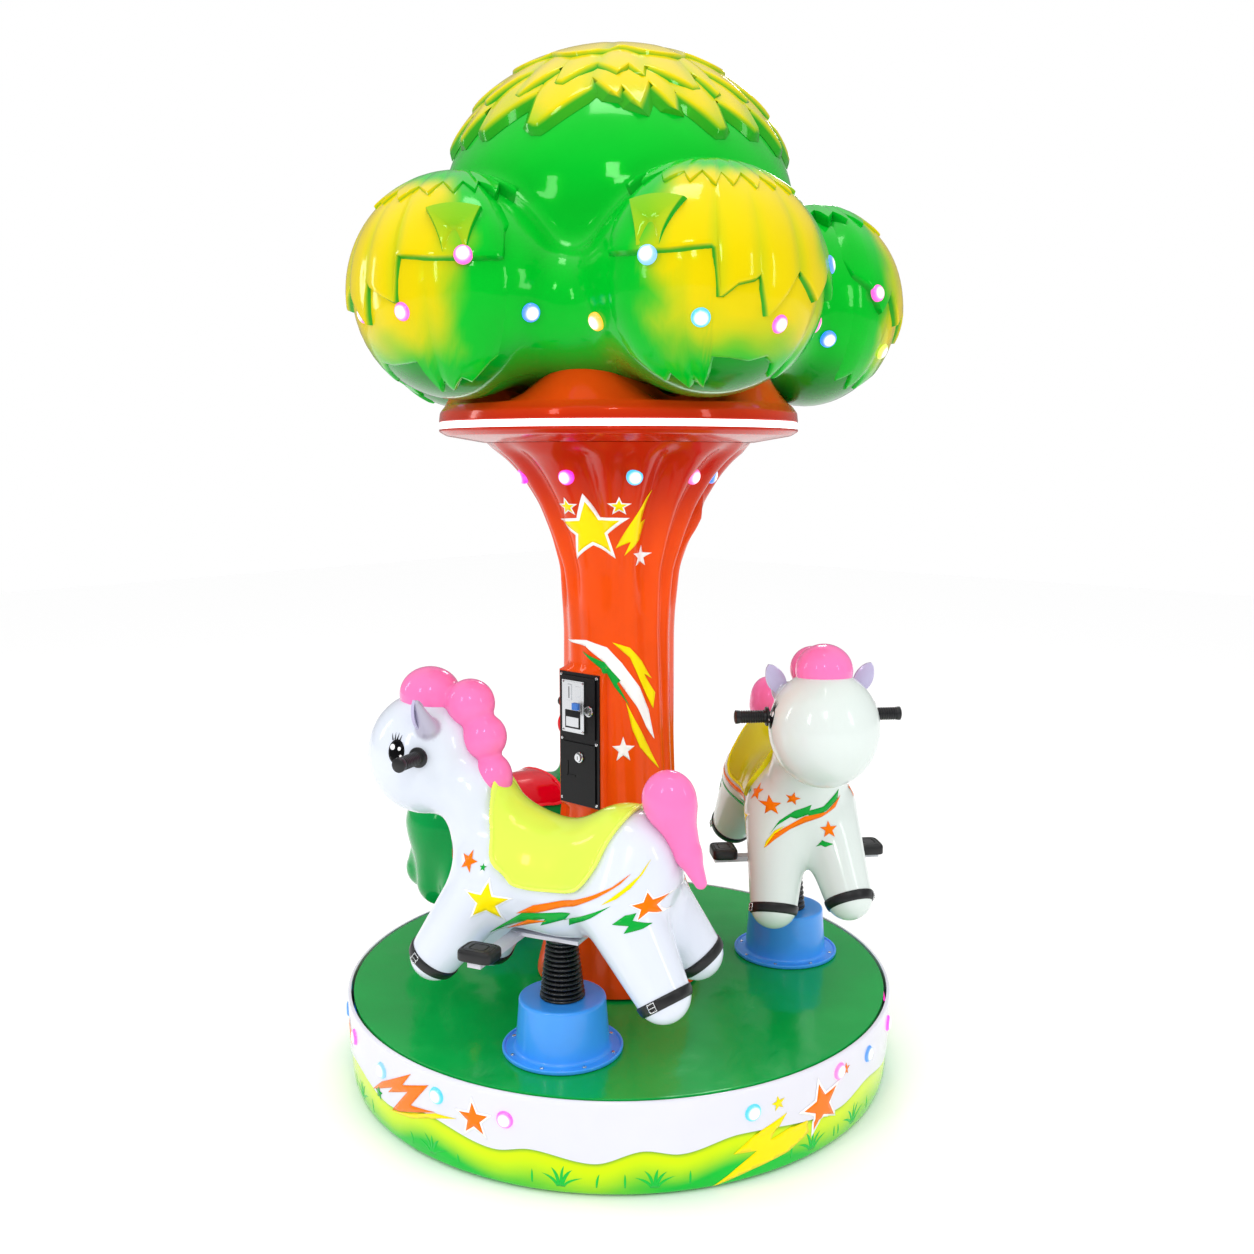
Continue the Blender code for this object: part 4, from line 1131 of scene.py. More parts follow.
# each leg's upper end, lower end and radius there
PONY_HOOVES = tuple((form[2], form[4], form[5]) for form in PONY_BODY if form[0] is limb)
PONY_MANE = (
    (ball, 0.0, (0.315, 0, 0.748), (0.067, 0.064, 0.060)),
    (ball, 0.012, (0.215, 0, 0.735), (0.053, 0.052, 0.053)),
    (ball, 0.012, (0.182, 0, 0.665), (0.049, 0.046, 0.050)),
    (ball, 0.012, (0.163, 0, 0.577), (0.043, 0.043, 0.054)),
)
PONY_TAIL = (
    (ball, 0.0, (-0.243, 0, 0.574), (0.057, 0.046, 0.061)),
    (limb, 0.020, (-0.255, 0, 0.545), 0.042, (-0.285, 0, 0.465), 0.026),
    (limb, 0.012, (-0.285, 0, 0.465), 0.026, (-0.312, 0, 0.410), 0.013),
)
PONY_SADDLE = (
    (0.150, 0.640), (0.135, 0.530), (0.118, 0.482), (0.107, 0.435), (0.071, 0.410),
    (0.052, 0.383), (-0.038, 0.386), (-0.070, 0.391), (-0.102, 0.405), (-0.133, 0.449),
    (-0.145, 0.491), (-0.170, 0.540), (-0.199, 0.578), (-0.199, 0.640),
)
DINO_BODY = (
    (ball, 0.0, (0, 0, 0.295), (0.190, 0.112, 0.088)),
    (ball, 0.050, (-0.150, 0, 0.300), (0.125, 0.112, 0.110)),
    (ball, 0.050, (0.140, 0, 0.290), (0.115, 0.100, 0.080)),
    (ball, 0.050, (0.262, 0, 0.400), (0.070, 0.076, 0.120)),
    (ball, 0.040, (0.310, 0, 0.530), (0.105, 0.108, 0.095)),
    (ball, 0.035, (0.392, 0, 0.505), (0.080, 0.088, 0.064)),
    (limb, 0.045, (-0.180, 0, 0.290), 0.094, (-0.200, 0, 0.140), 0.063),
    (limb, 0.030, (0.120, 0.060, 0.300), 0.068, (0.185, 0.092, 0.155), 0.050),
    (limb, 0.030, (0.120, -0.060, 0.300), 0.068, (0.185, -0.092, 0.155), 0.050),
    (limb, 0.035, (-0.140, 0.060, 0.280), 0.085, (-0.190, 0.096, 0.150), 0.056),
    (limb, 0.035, (-0.140, -0.060, 0.280), 0.085, (-0.190, -0.096, 0.150), 0.056),
)
DINO_CREST = (
    (ball, 0.0, (0.275, 0, 0.645), (0.040, 0.022, 0.036)),
    (ball, 0.010, (0.250, 0, 0.615), (0.030, 0.020, 0.030)),
    (ball, 0.010, (0.220, 0, 0.585), (0.036, 0.022, 0.036)),
    (ball, 0.010, (0.209, 0, 0.548), (0.026, 0.020, 0.036)),
    (ball, 0.010, (0.203, 0, 0.510), (0.032, 0.021, 0.036)),
)
DINO_SADDLE = (
    (0.116, 0.560), (0.117, 0.345), (0.095, 0.322), (0.040, 0.325), (-0.050, 0.320),
    (-0.120, 0.305), (-0.185, 0.335), (-0.150, 0.385), (-0.165, 0.480),
)
# body, ears, saddle outline, half the bar's length inside the head, and the bar's place
SHAPES = {
    "pony": (PONY_BODY, PONY_EARS, PONY_SADDLE, 0.114, (0.272, 0.637)),
    "dino": (DINO_BODY, (), DINO_SADDLE, 0.100, (0.310, 0.530)),
}
MADE = {}


def once(key, make):
    """A surface that two rides share is worked out once."""
    if key not in MADE:
        MADE[key] = make()
    return MADE[key]


def kind_of(name):
    """The key in SHAPES of a ride."""
    return "dino" if name == "dino" else "pony"


def body_field(kind):
    """The signed distance to a figure's body, without its ears."""
    return union(SHAPES[kind][0])


def body_surface(kind):
    """The figure's skin: balls and tapered limbs joined by fillets, cut flat over its lift."""
    ears = SHAPES[kind][1]
    bare = body_field(kind)
    # the lift's plate, 260 x 68 mm, lets into the belly up to this height
    plate = 0.256 if kind == "pony" else 0.217

    def field(p):
        value = bare(p)
        if ears:
            value = blended(value, union(ears)(p), 0.010)
        seat = np.maximum(np.abs(p[:, 0]) - 0.13, np.abs(p[:, 1]) - 0.034)
        seat = np.maximum(seat, p[:, 2] - plate)
        return np.maximum(value, -seat)

    low, high = np.array([-0.40, -0.155, 0.06]), np.array([0.490, 0.155, 0.775])
    surface = skin(field, low, high, 0.0058, 2)
    if ears:
        surface.paint = {"ear": 1 - smoothstep(0.001, 0.007, union(ears)(surface.points))}
    return surface


def saddle_surfaces(kind):
    """A saddle: the body's level +9.5 mm inside a soft outline, and a rim band 2 mm prouder."""
    bare = body_field(kind)
    outline = softened(SHAPES[kind][2], 2)
    low = np.array([outline[:, 0].min() - 0.02, -0.15, outline[:, 1].min() - 0.02])
    high = np.array([outline[:, 0].max() + 0.02, 0.15, outline[:, 1].max()])

    def pad(p):
        value, edge = bare(p), inside_outline_fast(outline, p)
        top = -blended(-(value - 0.0095), -(edge + 0.003), 0.008)
        return np.maximum(top, -(value + 0.004))

    def rim(p):
        value, edge = bare(p), inside_outline_fast(outline, p)
        band = np.maximum(edge, -(edge + 0.0085))
        top = -blended(-(value - 0.0115), -band, 0.005)
        return np.maximum(top, -(value + 0.004))

    return skin(pad, low, high, 0.0055, 2, 0), skin(rim, low, high, 0.0042, 2, 1)


def inside_outline_fast(outline, p, cell=0.002):
    """The outline's signed distance, read from a table of that pitch between its points."""
    low = outline.min(0) - 0.06
    high = outline.max(0) + 0.06
    key = ("outline", len(outline), round(float(outline.sum()), 6))
    u = np.arange(low[0], high[0] + cell, cell)
    v = np.arange(low[1], high[1] + cell, cell)

    def make():
        grid_u, grid_v = np.meshgrid(u, v, indexing="ij")
        return inside_outline(outline, grid_u.ravel(), grid_v.ravel()).reshape(grid_u.shape)

    table = once(key, make)
    fu = np.clip((p[:, 0] - low[0]) / cell, 0, len(u) - 1.001)
    fv = np.clip((p[:, 2] - low[1]) / cell, 0, len(v) - 1.001)
    i, j = fu.astype(int), fv.astype(int)
    a, b = fu - i, fv - j
    near = table[i, j] * (1 - a) + table[i + 1, j] * a
    far = table[i, j + 1] * (1 - a) + table[i + 1, j + 1] * a
    return near * (1 - b) + far * b


def hoof_strap(field, hoof, way_out):
    """A strap round a leg, with a wire buckle and its pin on the side nearest the way out.

    The strap is rings about the leg's axis, each point marched in to the skin.
    """
    start, end, radius = (np.asarray(v, float) for v in hoof)
    ahead = end - start
    ahead /= np.linalg.norm(ahead)
    side = np.cross(ahead, [0, 1, 0])
    side /= np.linalg.norm(side)
    up = np.cross(ahead, side)
    turn = np.linspace(0, 2 * np.pi, 56, endpoint=False)
    out = np.cos(turn)[:, None] * side + np.sin(turn)[:, None] * up
    rows = []
    for station, height in (
        (-0.0110, -0.0020), (-0.0112, 0.0013), (-0.0100, 0.0026), (-0.0050, 0.0030),
        (0.0050, 0.0030), (0.0100, 0.0026), (0.0112, 0.0013), (0.0110, -0.0020),
    ):
        middle = end + ahead * (radius - 0.044 + station)
        reach = np.full(len(turn), 0.085)
        for _ in range(30):
            reach -= 0.85 * (field(middle + out * reach[:, None]) - height)
            reach = np.clip(reach, 0.02, 0.1)
        rows.append(middle + out * reach[:, None])
    strap = grid(np.stack([*rows, rows[0]]), False, False)
    best = int(np.argmax(out @ np.asarray(way_out, float)))
    place = (rows[3][best] + rows[4][best]) / 2
    facing = out[best]
    along = np.cross(facing, ahead)
    corners = [(-8, -8), (8, -8), (8, 8), (-8, 8), (-8, -8)]
    path = [place + facing * 0.0010 + along * a * MM + ahead * b * MM for a, b in corners]
    sides = [np.linspace(a, b, 5, endpoint=False) for a, b in zip(path, path[1:])]
    pin = [place + facing * 0.0022 + along * a * MM for a in (-8, 9)]
    buckle = tube(np.concatenate([*sides, path[-1:]]), 0.0013, 8, 1)
    return [strap, buckle, tube(np.linspace(*pin, 4), 0.0011, 8, 1)]


def eye_outline(centre, half, turned=0.0, count=28):
    """An ellipse in a plane, of given half sizes, turned by an angle in radians."""
    angle = np.linspace(0, 2 * np.pi, count, endpoint=False)
    u, v = half[0] * np.cos(angle), half[1] * np.sin(angle)
    c, s = np.cos(turned), np.sin(turned)
    return np.stack([centre[0] + c * u - s * v, centre[1] + s * u + c * v], -1)


def laid_sticker(field, side, outline, height, colour, spacing=0.007):
    """A plane outline laid on a figure: each point marched in to the skin's level.

    side is 1 for the left flank and -1 for the right, where the outline is in X and Z, and
    0 for the chest, where it is in Y and Z.
    """
    flat, faces = sheet_of(outline, spacing)
    none = np.zeros(len(flat))
    points = np.stack([flat[:, 0], none + side * 0.17, flat[:, 1]], -1)
    step = np.array([0.0, -side, 0.0])
    if not side:
        points = np.stack([none + 0.44, flat[:, 0], flat[:, 1]], -1)
        step = np.array([-1.0, 0.0, 0.0])
    for _ in range(44):
        points = points + step * (0.8 * (field(points) - height))[:, None]
    return film_of(points, faces, -step, SLOTS[colour])


def ear_leaf(side):
    """The lilac inner leaf of an ear: a pointed oval, laid on the ear's front."""
    share = np.linspace(0, 1, 15)[:, None]
    wide = np.array([-1, -0.75, -0.45, -0.15, 0.15, 0.45, 0.75, 1.0])
    half = 0.0215 * np.sin(np.pi * share**0.9) ** 0.62
    foot, tip = np.array([0.284, 0.086, 0.690]), np.array([0.282, 0.119, 0.758])
    axis = foot + (tip - foot) * share
    across = np.cross(tip - foot, [1.0, 0, 0])
    across /= np.linalg.norm(across)
    bulge = 0.0060 * (1 - wide**2) * np.sin(np.pi * share)
    points = axis[:, None] + (half * wide)[..., None] * across + bulge[..., None] * [1.0, 0, 0]
    surface = grid(np.concatenate([points, points[:, ::-1] - [0.007, 0, 0]], axis=1))
    if side < 0:
        surface.points = surface.points * [1, -1, 1]
        surface.faces = [block[:, ::-1] for block in surface.faces]
    return surface


def grip(side, inner):
    """A rubber grip on the bar's end: a stop flange, then a ribbed sleeve with a round end."""
    profile = [(0.0115, inner), (0.0215, inner + 0.0005), (0.0222, inner + 0.003), (0.0215, inner + 0.0058)]
    profile.append((0.0150, inner + 0.0075))
    for y in np.arange(inner + 0.012, GRIP_END - 0.012, 0.0056):
        profile += [(0.0146, y), (0.0135, y + 0.0012), (0.0135, y + 0.0022), (0.0146, y + 0.0034)]
    for radius, short in ((0.0150, 0.009), (0.0158, 0.006), (0.0155, 0.002), (0.0120, 0.0003)):
        profile.append((radius, GRIP_END - short))
    turned = lathe(profile, 28)
    points = np.stack([turned.points[:, 0], turned.points[:, 2] * side, turned.points[:, 1]], -1)
    return Surface(points, turned.faces if side < 0 else [block[:, ::-1] for block in turned.faces])


def pedal_pad(low, high):
    """A footrest pad: a superellipse in plan, with a rounded edge and grooves across its top."""
    centre = (np.asarray(low) + high) / 2
    half = (np.asarray(high) - low) / 2
    turn = np.linspace(0, 2 * np.pi, 64, endpoint=False)
    c, s = np.cos(turn), np.sin(turn)
    plan = np.stack([np.sign(c) * np.abs(c) ** 0.42, np.sign(s) * np.abs(s) ** 0.42, 0 * c], -1)
    rows = [
        centre + plan * half * scale + [0, 0, half[2] * height]
        for scale, height in (
            (0.90, -1.0), (0.97, -0.92), (1.0, -0.72), (1.0, 0.35), (0.985, 0.62), (0.93, 0.85),
            (0.84, 0.95), (0.80, 0.80), (0.76, 0.80), (0.72, 0.97), (0.5, 1.0), (0.47, 0.84),
            (0.43, 0.84), (0.40, 1.0), (0.15, 1.0),
        )
    ]
    return grid(np.stack(rows))


def bellows(low, high, wide, narrow, centre, folds=12):
    """A pleated rubber boot: rounded ridges that narrow evenly from its foot to its head."""
    profile = [(wide - 0.004, low), (wide, low + 0.0005), (wide, low + 0.004)]
    share = np.linspace(0, 1, folds * 8 + 1)[1:-1]
    reach = wide + (narrow - wide) * share
    ridge = np.abs(np.sin(np.pi * folds * share)) ** 0.7
    height = low + 0.004 + (high - low - 0.008) * share
    profile += list(zip(reach - 0.0085 * (1 - ridge), height))
    profile += [(narrow, high - 0.004), (narrow, high - 0.0005), (narrow - 0.004, high)]
    boot = lathe(profile, 48, 0, False, False)
    boot.points[:, :2] += centre
    return boot


def cup(centre, floor):
    """The moulded cup: a flange with a raised rim, a tapered wall and a rolled shoulder."""
    profile = rounded(
        [
            (0.0166, 0.0003), (0.1300, 0.0003), (0.1300, 0.0100), (0.1245, 0.0100),
            (0.1230, 0.0068), (0.1060, 0.0068), (0.1015, 0.0110), (0.0940, 0.1020),
            (0.0935, 0.1175), (0.0800, 0.1180), (0.0500, 0.1165), (0.0166, 0.1168),
        ],
        0.006,
    )
    parts = [lathe([*profile, profile[0]], 72, 0, False, False)]
    for k in range(8):
        head = lathe([(0.0046, -0.001), (0.0046, 0.0012), (0.0036, 0.0022), (0.0012, 0.0025)], 14, 1, False)
        parts.append(head.moved(lambda p: p + around_z(0.1145, np.radians(22.5 + 45 * k), 0.0068)))
    return [part.moved(lambda p: p + [*centre, floor]) for part in parts]


# stickers by colour, each ("star", centre, radius, turn) or an outline: those of a flank in
# the figure's X and Z, those of the chest in its Y and Z
FLANK = {
    "orange": (
        ("star", (0.156, 0.429), 0.022, 12),
        (
            (0.0561, 0.3246), (0.0131, 0.3507), (-0.0352, 0.3653), (-0.0849, 0.381), (-0.1344, 0.4027),
            (-0.1735, 0.4225), (-0.2036, 0.4468), (-0.188, 0.4288), (-0.1703, 0.4159), (-0.1443, 0.3998),
            (-0.0852, 0.3677), (-0.0345, 0.3494), (0.0031, 0.3355),
        ),
        ((0.100, 0.272), (0.034, 0.3114), (-0.0104, 0.3167), (0.034, 0.3000), (0.060, 0.2880)),
        ("star", (-0.237, 0.383), 0.026, -8),
    ),
    "green": (
        ("star", (0.119, 0.422), 0.008, 0),
        (
            (0.126, 0.268), (0.1053, 0.2836), (0.0424, 0.3276), (-0.0149, 0.3371), (-0.0732, 0.3479),
            (-0.0534, 0.3261), (-0.1255, 0.363), (-0.1737, 0.3864), (-0.1314, 0.356), (-0.061, 0.3141),
            (-0.0665, 0.3330), (0.0075, 0.3012), (-0.0093, 0.3220), (0.0507, 0.3031),
        ),
        (
            (-0.1781, 0.351), (-0.2014, 0.3695), (-0.2206, 0.3731), (-0.2164, 0.3598),
            (-0.2478, 0.351), (-0.2355, 0.3442), (-0.2025, 0.3356), (-0.2105, 0.3502),
        ),
    ),
    "yellow": (
        ("star", (0.109, 0.351), 0.044, 8),
        (
            (-0.2327, 0.4707), (-0.2174, 0.4411), (-0.1933, 0.4181), (-0.1548, 0.3868),
            (-0.1836, 0.4007), (-0.2064, 0.4198), (-0.2235, 0.4456),
        ),
    ),
}
CHEST = {
    "orange": (
        ("star", (-0.092, 0.408), 0.024, 6),
        ("star", (-0.047, 0.432), 0.017, -10),
        ("star", (0.040, 0.356), 0.021, 4),
        (
            (-0.110, 0.3102), (-0.0852, 0.3447), (-0.0492, 0.3679), (-0.0173, 0.3884),
            (0.0341, 0.3984), (0.0714, 0.4332), (0.0575, 0.4071), (0.0235, 0.3867),
            (-0.0162, 0.3721), (-0.0497, 0.356), (-0.0861, 0.3309),
        ),
    ),
    "green": (
        (
            (-0.0968, 0.3412), (-0.0736, 0.3751), (-0.0407, 0.4019), (-0.0037, 0.4185), (-0.0077, 0.4036),
            (0.0258, 0.4119), (0.0653, 0.4492), (0.0631, 0.4265), (0.034, 0.401), (-0.0018, 0.3825),
            (-0.0099, 0.3933), (-0.0358, 0.382), (-0.0494, 0.3856), (-0.0792, 0.3634),
        ),
        (
            (0.0118, 0.3136), (0.0246, 0.3309), (0.0309, 0.3281), (0.0484, 0.3246),
            (0.0299, 0.3159), (0.0218, 0.3189),
        ),
    ),
    "yellow": (
        (
            (-0.110, 0.3106), (-0.1044, 0.3266), (-0.0847, 0.3516), (-0.0621, 0.3636),
            (-0.0802, 0.3472), (-0.1003, 0.3227),
        ),
    ),
}
STICKERS = {
    "white": "FFFFFF", "orange": "FF7A08", "green": "14A53C", "yellow": "FFE60A", "black": "0A0A0C",
    "grass": "1CC442",
}
SLOTS = {name: slot for slot, name in enumerate(STICKERS)}


def sticker_paints(count=5):
    """The first films' materials, in the order of their slots; grass is the sixth."""
    return [vinyl(colour) for colour in list(STICKERS.values())[:count]]


def pony_eye():
    """(outline, height, colour, spacing) of an eye, its glints and its lashes."""
    laid = [(eye_outline((0.324, 0.645), (0.0195, 0.0255)), 0.0010, "black", 0.005)]
    # the glints are painted highlights: white dots on the black eye
    for centre, size in (((0.3335, 0.6545), 0.0062), ((0.3165, 0.6520), 0.0040), ((0.312, 0.637), 0.0030)):
        laid.append((eye_outline(centre, (size, size), 0, 12), 0.0016, "white", 0.004))
    for root, tip in (
        ((0.3354, 0.6682), (0.3405, 0.6814)), ((0.3302, 0.6696), (0.3315, 0.6842)),
        ((0.3247, 0.670), (0.3230, 0.6837)), ((0.3185, 0.6686), (0.3150, 0.6802)),
    ):
        root, tip = np.array(root), np.array(tip)
        across = np.array([-(tip - root)[1], (tip - root)[0]])
        across *= 0.0016 / np.linalg.norm(across)
        laid.append((np.array([root - across, root + across, tip]), 0.0012, "black", 0.004))
    return laid


def pony_stickers(field):
    """Stars and swooshes for both flanks and the chest, and the eyes; big stars have a border."""
    made = []
    for side, sets in ((-1, FLANK), (1, FLANK), (0, CHEST)):
        laid = []
        for colour in ("yellow", "green", "orange"):
            for item in sets[colour]:
                if item[0] != "star":
                    laid.append((item, 0.0010 if colour == "green" else 0.0013, colour))
                    continue
                _, centre, radius, turned = item
                if radius > 0.025:
                    laid.append((star(centre, radius * 1.24, turned), 0.0007, "white"))
                laid.append((star(centre, radius, turned), 0.0013, colour))
        made += [laid_sticker(field, side, *item) for item in laid + (pony_eye() if side else [])]
    return made


def dino_markings(field):
    """Eyes, nostrils and spots for both sides."""
    laid = [
        (eye_outline((0.337, 0.568), (0.024, 0.028)), 0.0008, "white", 0.006),
        (eye_outline((0.343, 0.566), (0.013, 0.018)), 0.0014, "black", 0.005),
        # a white dot on the pupil, a painted highlight
        (eye_outline((0.347, 0.573), (0.0045, 0.0045), 0, 12), 0.0020, "white", 0.004),
        (eye_outline((0.444, 0.524), (0.0055, 0.0040), 0.4, 14), 0.0008, "black", 0.004),
    ]
    for k, (x, z, r) in enumerate((
        (-0.02, 0.252, 0.018), (0.03, 0.262, 0.012), (-0.10, 0.255, 0.022), (-0.185, 0.265, 0.018),
        (0.17, 0.290, 0.016), (0.27, 0.42, 0.012),
    )):
        spot = eye_outline((x, z), (r, r * 0.85), 0.3 * k, 20)
        laid.append((spot, 0.0008, "yellow" if k % 2 else "green"))
    return [laid_sticker(field, side, *item) for side in (-1, 1) for item in laid]


def figure_pieces(settings):
    # each ride's coat, its saddle colour, a lighter copy of that colour on the saddle's rim as a painted
    # highlight along its edge, and the saddle's slot
    looks = {
        "pony_front": (settings.pony_front, settings.saddle_front, linear("E2F565"), "saddle_lime"),
        "pony_right": (settings.pony_right, settings.saddle_right, linear("E8E21C"), "saddle_yellow"),
        "dino": (settings.dino, settings.red, linear("F4303C"), "dino_red"),
    }
    for name, (coat, saddle, saddle_rim_highlight, saddle_slot) in looks.items():
        kind = kind_of(name)
        pony = kind == "pony"
        seat = name + "_seat"
        field = body_field(kind)
        paint = gel_coat(
            "gel_coat_" + name, coat, ripple=0.45, mottle=0.02, grain=0.2,
            marks=("ear", linear("B4B0C4")) if pony else None,
        )
        body = on_ride(name, [once(kind + "_body", lambda: body_surface(kind))])
        slot = name + "_white" if pony else "dino_green"
        make_piece(name + "_skin", body, [paint], seat, [name + "_body"], slot, 70)
        if pony:
            pink = gel_coat("gel_coat_pink", settings.pink, ripple=0.4, mottle=0.04)
            for part, piece, forms, low, high in (
                ("mane", "_mane_locks", PONY_MANE, (0.10, -0.075, 0.50), (0.39, 0.075, 0.82)),
                ("tail", "_tail_lock", PONY_TAIL, (-0.335, -0.06, 0.38), (-0.17, 0.06, 0.65)),
            ):
                hair = on_ride(name, [once(part, lambda: skin(union(forms), low, high, 0.0050, 2))])
                make_piece(name + piece, hair, [pink], seat, [name + "_" + part], name + "_pink", 80)
            lilac = gel_coat("gel_coat_lilac", linear("BDB6D6"), ripple=0.3, mottle=0.05)
            ears = on_ride(name, [ear_leaf(side) for side in (1, -1)])
            make_piece(name + "_ear_leaves", ears, [lilac], seat, (), None, 60)
            straps = []
            for hoof in PONY_HOOVES:
                straps += on_ride(name, hoof_strap(field, hoof, (0.2, np.sign(hoof[1][1]), 0.25)))
            make_piece(name + "_hoof_straps", straps, [rubber(), chrome()], seat, (), None, 50)
        else:
            red = gel_coat("gel_coat_red", settings.red, ripple=0.4, mottle=0.05)
            crest = skin(union(DINO_CREST), (0.15, -0.04, 0.45), (0.335, 0.04, 0.70), 0.0042, 2)
            crest = on_ride(name, [crest])
            make_piece(name + "_crest_knobs", crest, [red], seat, [name + "_crest"], "dino_red", 80)
        laid = once(kind + "_stickers", lambda: (pony_stickers if pony else dino_markings)(field))
        piece = name + ("_stickers" if pony else "_markings")
        film = make_piece(piece, on_ride(name, laid), sticker_paints(), seat, (), None, 60)
        thickened(film, 0.0004)
        surfaces = on_ride(name, once(kind + "_saddle", lambda: saddle_surfaces(kind)))
        paints = [
            gel_coat("gel_coat_saddle_" + name, saddle, ripple=0.35, mottle=0.04),
            gel_coat("gel_coat_saddle_rim_" + name, saddle_rim_highlight, ripple=0.3, mottle=0.03),
        ]
        make_piece(name + "_saddle_pad", surfaces, paints, seat, [name + "_saddle"], saddle_slot, 50)


def lift_pieces(settings):
    pleats = plain_finish(
        "pleated_rubber_black", linear("0C0D0F"), 0.28, (0.06, 60.0), 0.2, 0.1, Coat_Weight=0.3
    )
    grip_paint = plain_finish("grip_rubber_black", linear("141518"), 0.38, (0.08, 90.0), 0.15, 0.1)
    blue = plain_finish(
        "moulded_abs_blue", settings.cup, 0.30, (0.05, 40.0), 0.05, 0.05, Coat_Weight=0.35,
        Subsurface_Weight=0.08,
    )
    steel = plain_finish("powder_coated_steel_grey", linear("CFCFD8"), 0.38, (0.06, 300.0), 0.05, 0.25)
    for name in RIDES:
        kind = kind_of(name)
        seat = name + "_seat"
        *_, head_half, (bar_x, bar_z) = SHAPES[kind]
        x, y, _ = placed(name, np.zeros(3))
        parts, paints = cup((x, y), DECK_Z), [blue, chrome()]
        make_piece(name + "_cup_moulding", parts, paints, "turntable", [name + "_cup"], "cup_blue", 40)
        foot, head = (float(corner[2]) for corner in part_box(name + "_boot"))
        parts = [bellows(foot, head, 0.0485, 0.034, (x, y))]
        boot = make_piece(
            name + "_bellows", parts, [pleats], "turntable", [name + "_boot"], "boot_rubber", 80
        )
        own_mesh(boot)
        bar = lathe([(0.0112, -head_half - 0.004), (0.0112, head_half + 0.004)], 24)
        bar.points = np.stack([bar.points[:, 0], -bar.points[:, 2], bar.points[:, 1]], -1)
        parts = [grip(side, head_half + 0.002) for side in (-1, 1)] + [bar]
        parts = on_ride(name, [part.moved(lambda p: p + [bar_x, 0, bar_z]) for part in parts])
        bars = [name + "_handlebar"]
        make_piece(name + "_handle_grips", parts, [grip_paint], seat, bars, "grip_rubber", 40)
        middle, top = (0.095, 0.2470) if kind == "pony" else (0.100, 0.208)
        for which, sign in (("left", 1), ("right", -1)):
            low = np.array([middle - 0.040, sign * 0.182 - 0.031, top + 0.006])
            high = np.array([middle + 0.040, sign * 0.182 + 0.031, top + 0.0303])
            pad = on_ride(name, [pedal_pad(low, high)])
            pedals = [name + "_pedal_" + which]
            make_piece(name + "_pad_" + which, pad, [rubber()], seat, pedals, "pad_rubber", 50)
        dress(name + "_frame", steel)


def dress(node, material):
    """Gives a carried-over CAD node a better material, in the slots that it has."""
    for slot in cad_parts[node].material_slots:
        slot.material = material


# Coin panel

# the screws' X and height over the deck
PANEL_SCREWS = (
    (-0.054, 0.753), (0.059, 0.753), (-0.052, 0.600), (0.058, 0.598), (-0.053, 0.456), (0.058, 0.453),
)


def facing_front(surface, x, z, y):
    """A part turned about Z becomes one turned about the panel's outward direction."""
    p = surface.points
    points = np.stack([p[:, 0] + x, y - p[:, 2], p[:, 1] + z], -1)
    return Surface(points, surface.faces, surface.slot, **surface.paint)


def slab(low, high, bevel, slot):
    """A plate with chamfered edges, from its lowest corner to its highest."""
    low, high = np.asarray(low, float), np.asarray(high, float)
    middle, half = (low + high) / 2, (high - low) / 2
    square = np.array([(-1, -1), (1, -1), (1, 1), (-1, 1)])
    rows = []
    for inset, up in ((bevel, -half[2]), (0.0, bevel - half[2]), (0.0, half[2] - bevel), (bevel, half[2])):
        rows.append(np.concatenate([square * (half[:2] - inset), np.full((4, 1), up)], 1) + middle)
    return grid(np.stack(rows), slot=slot)


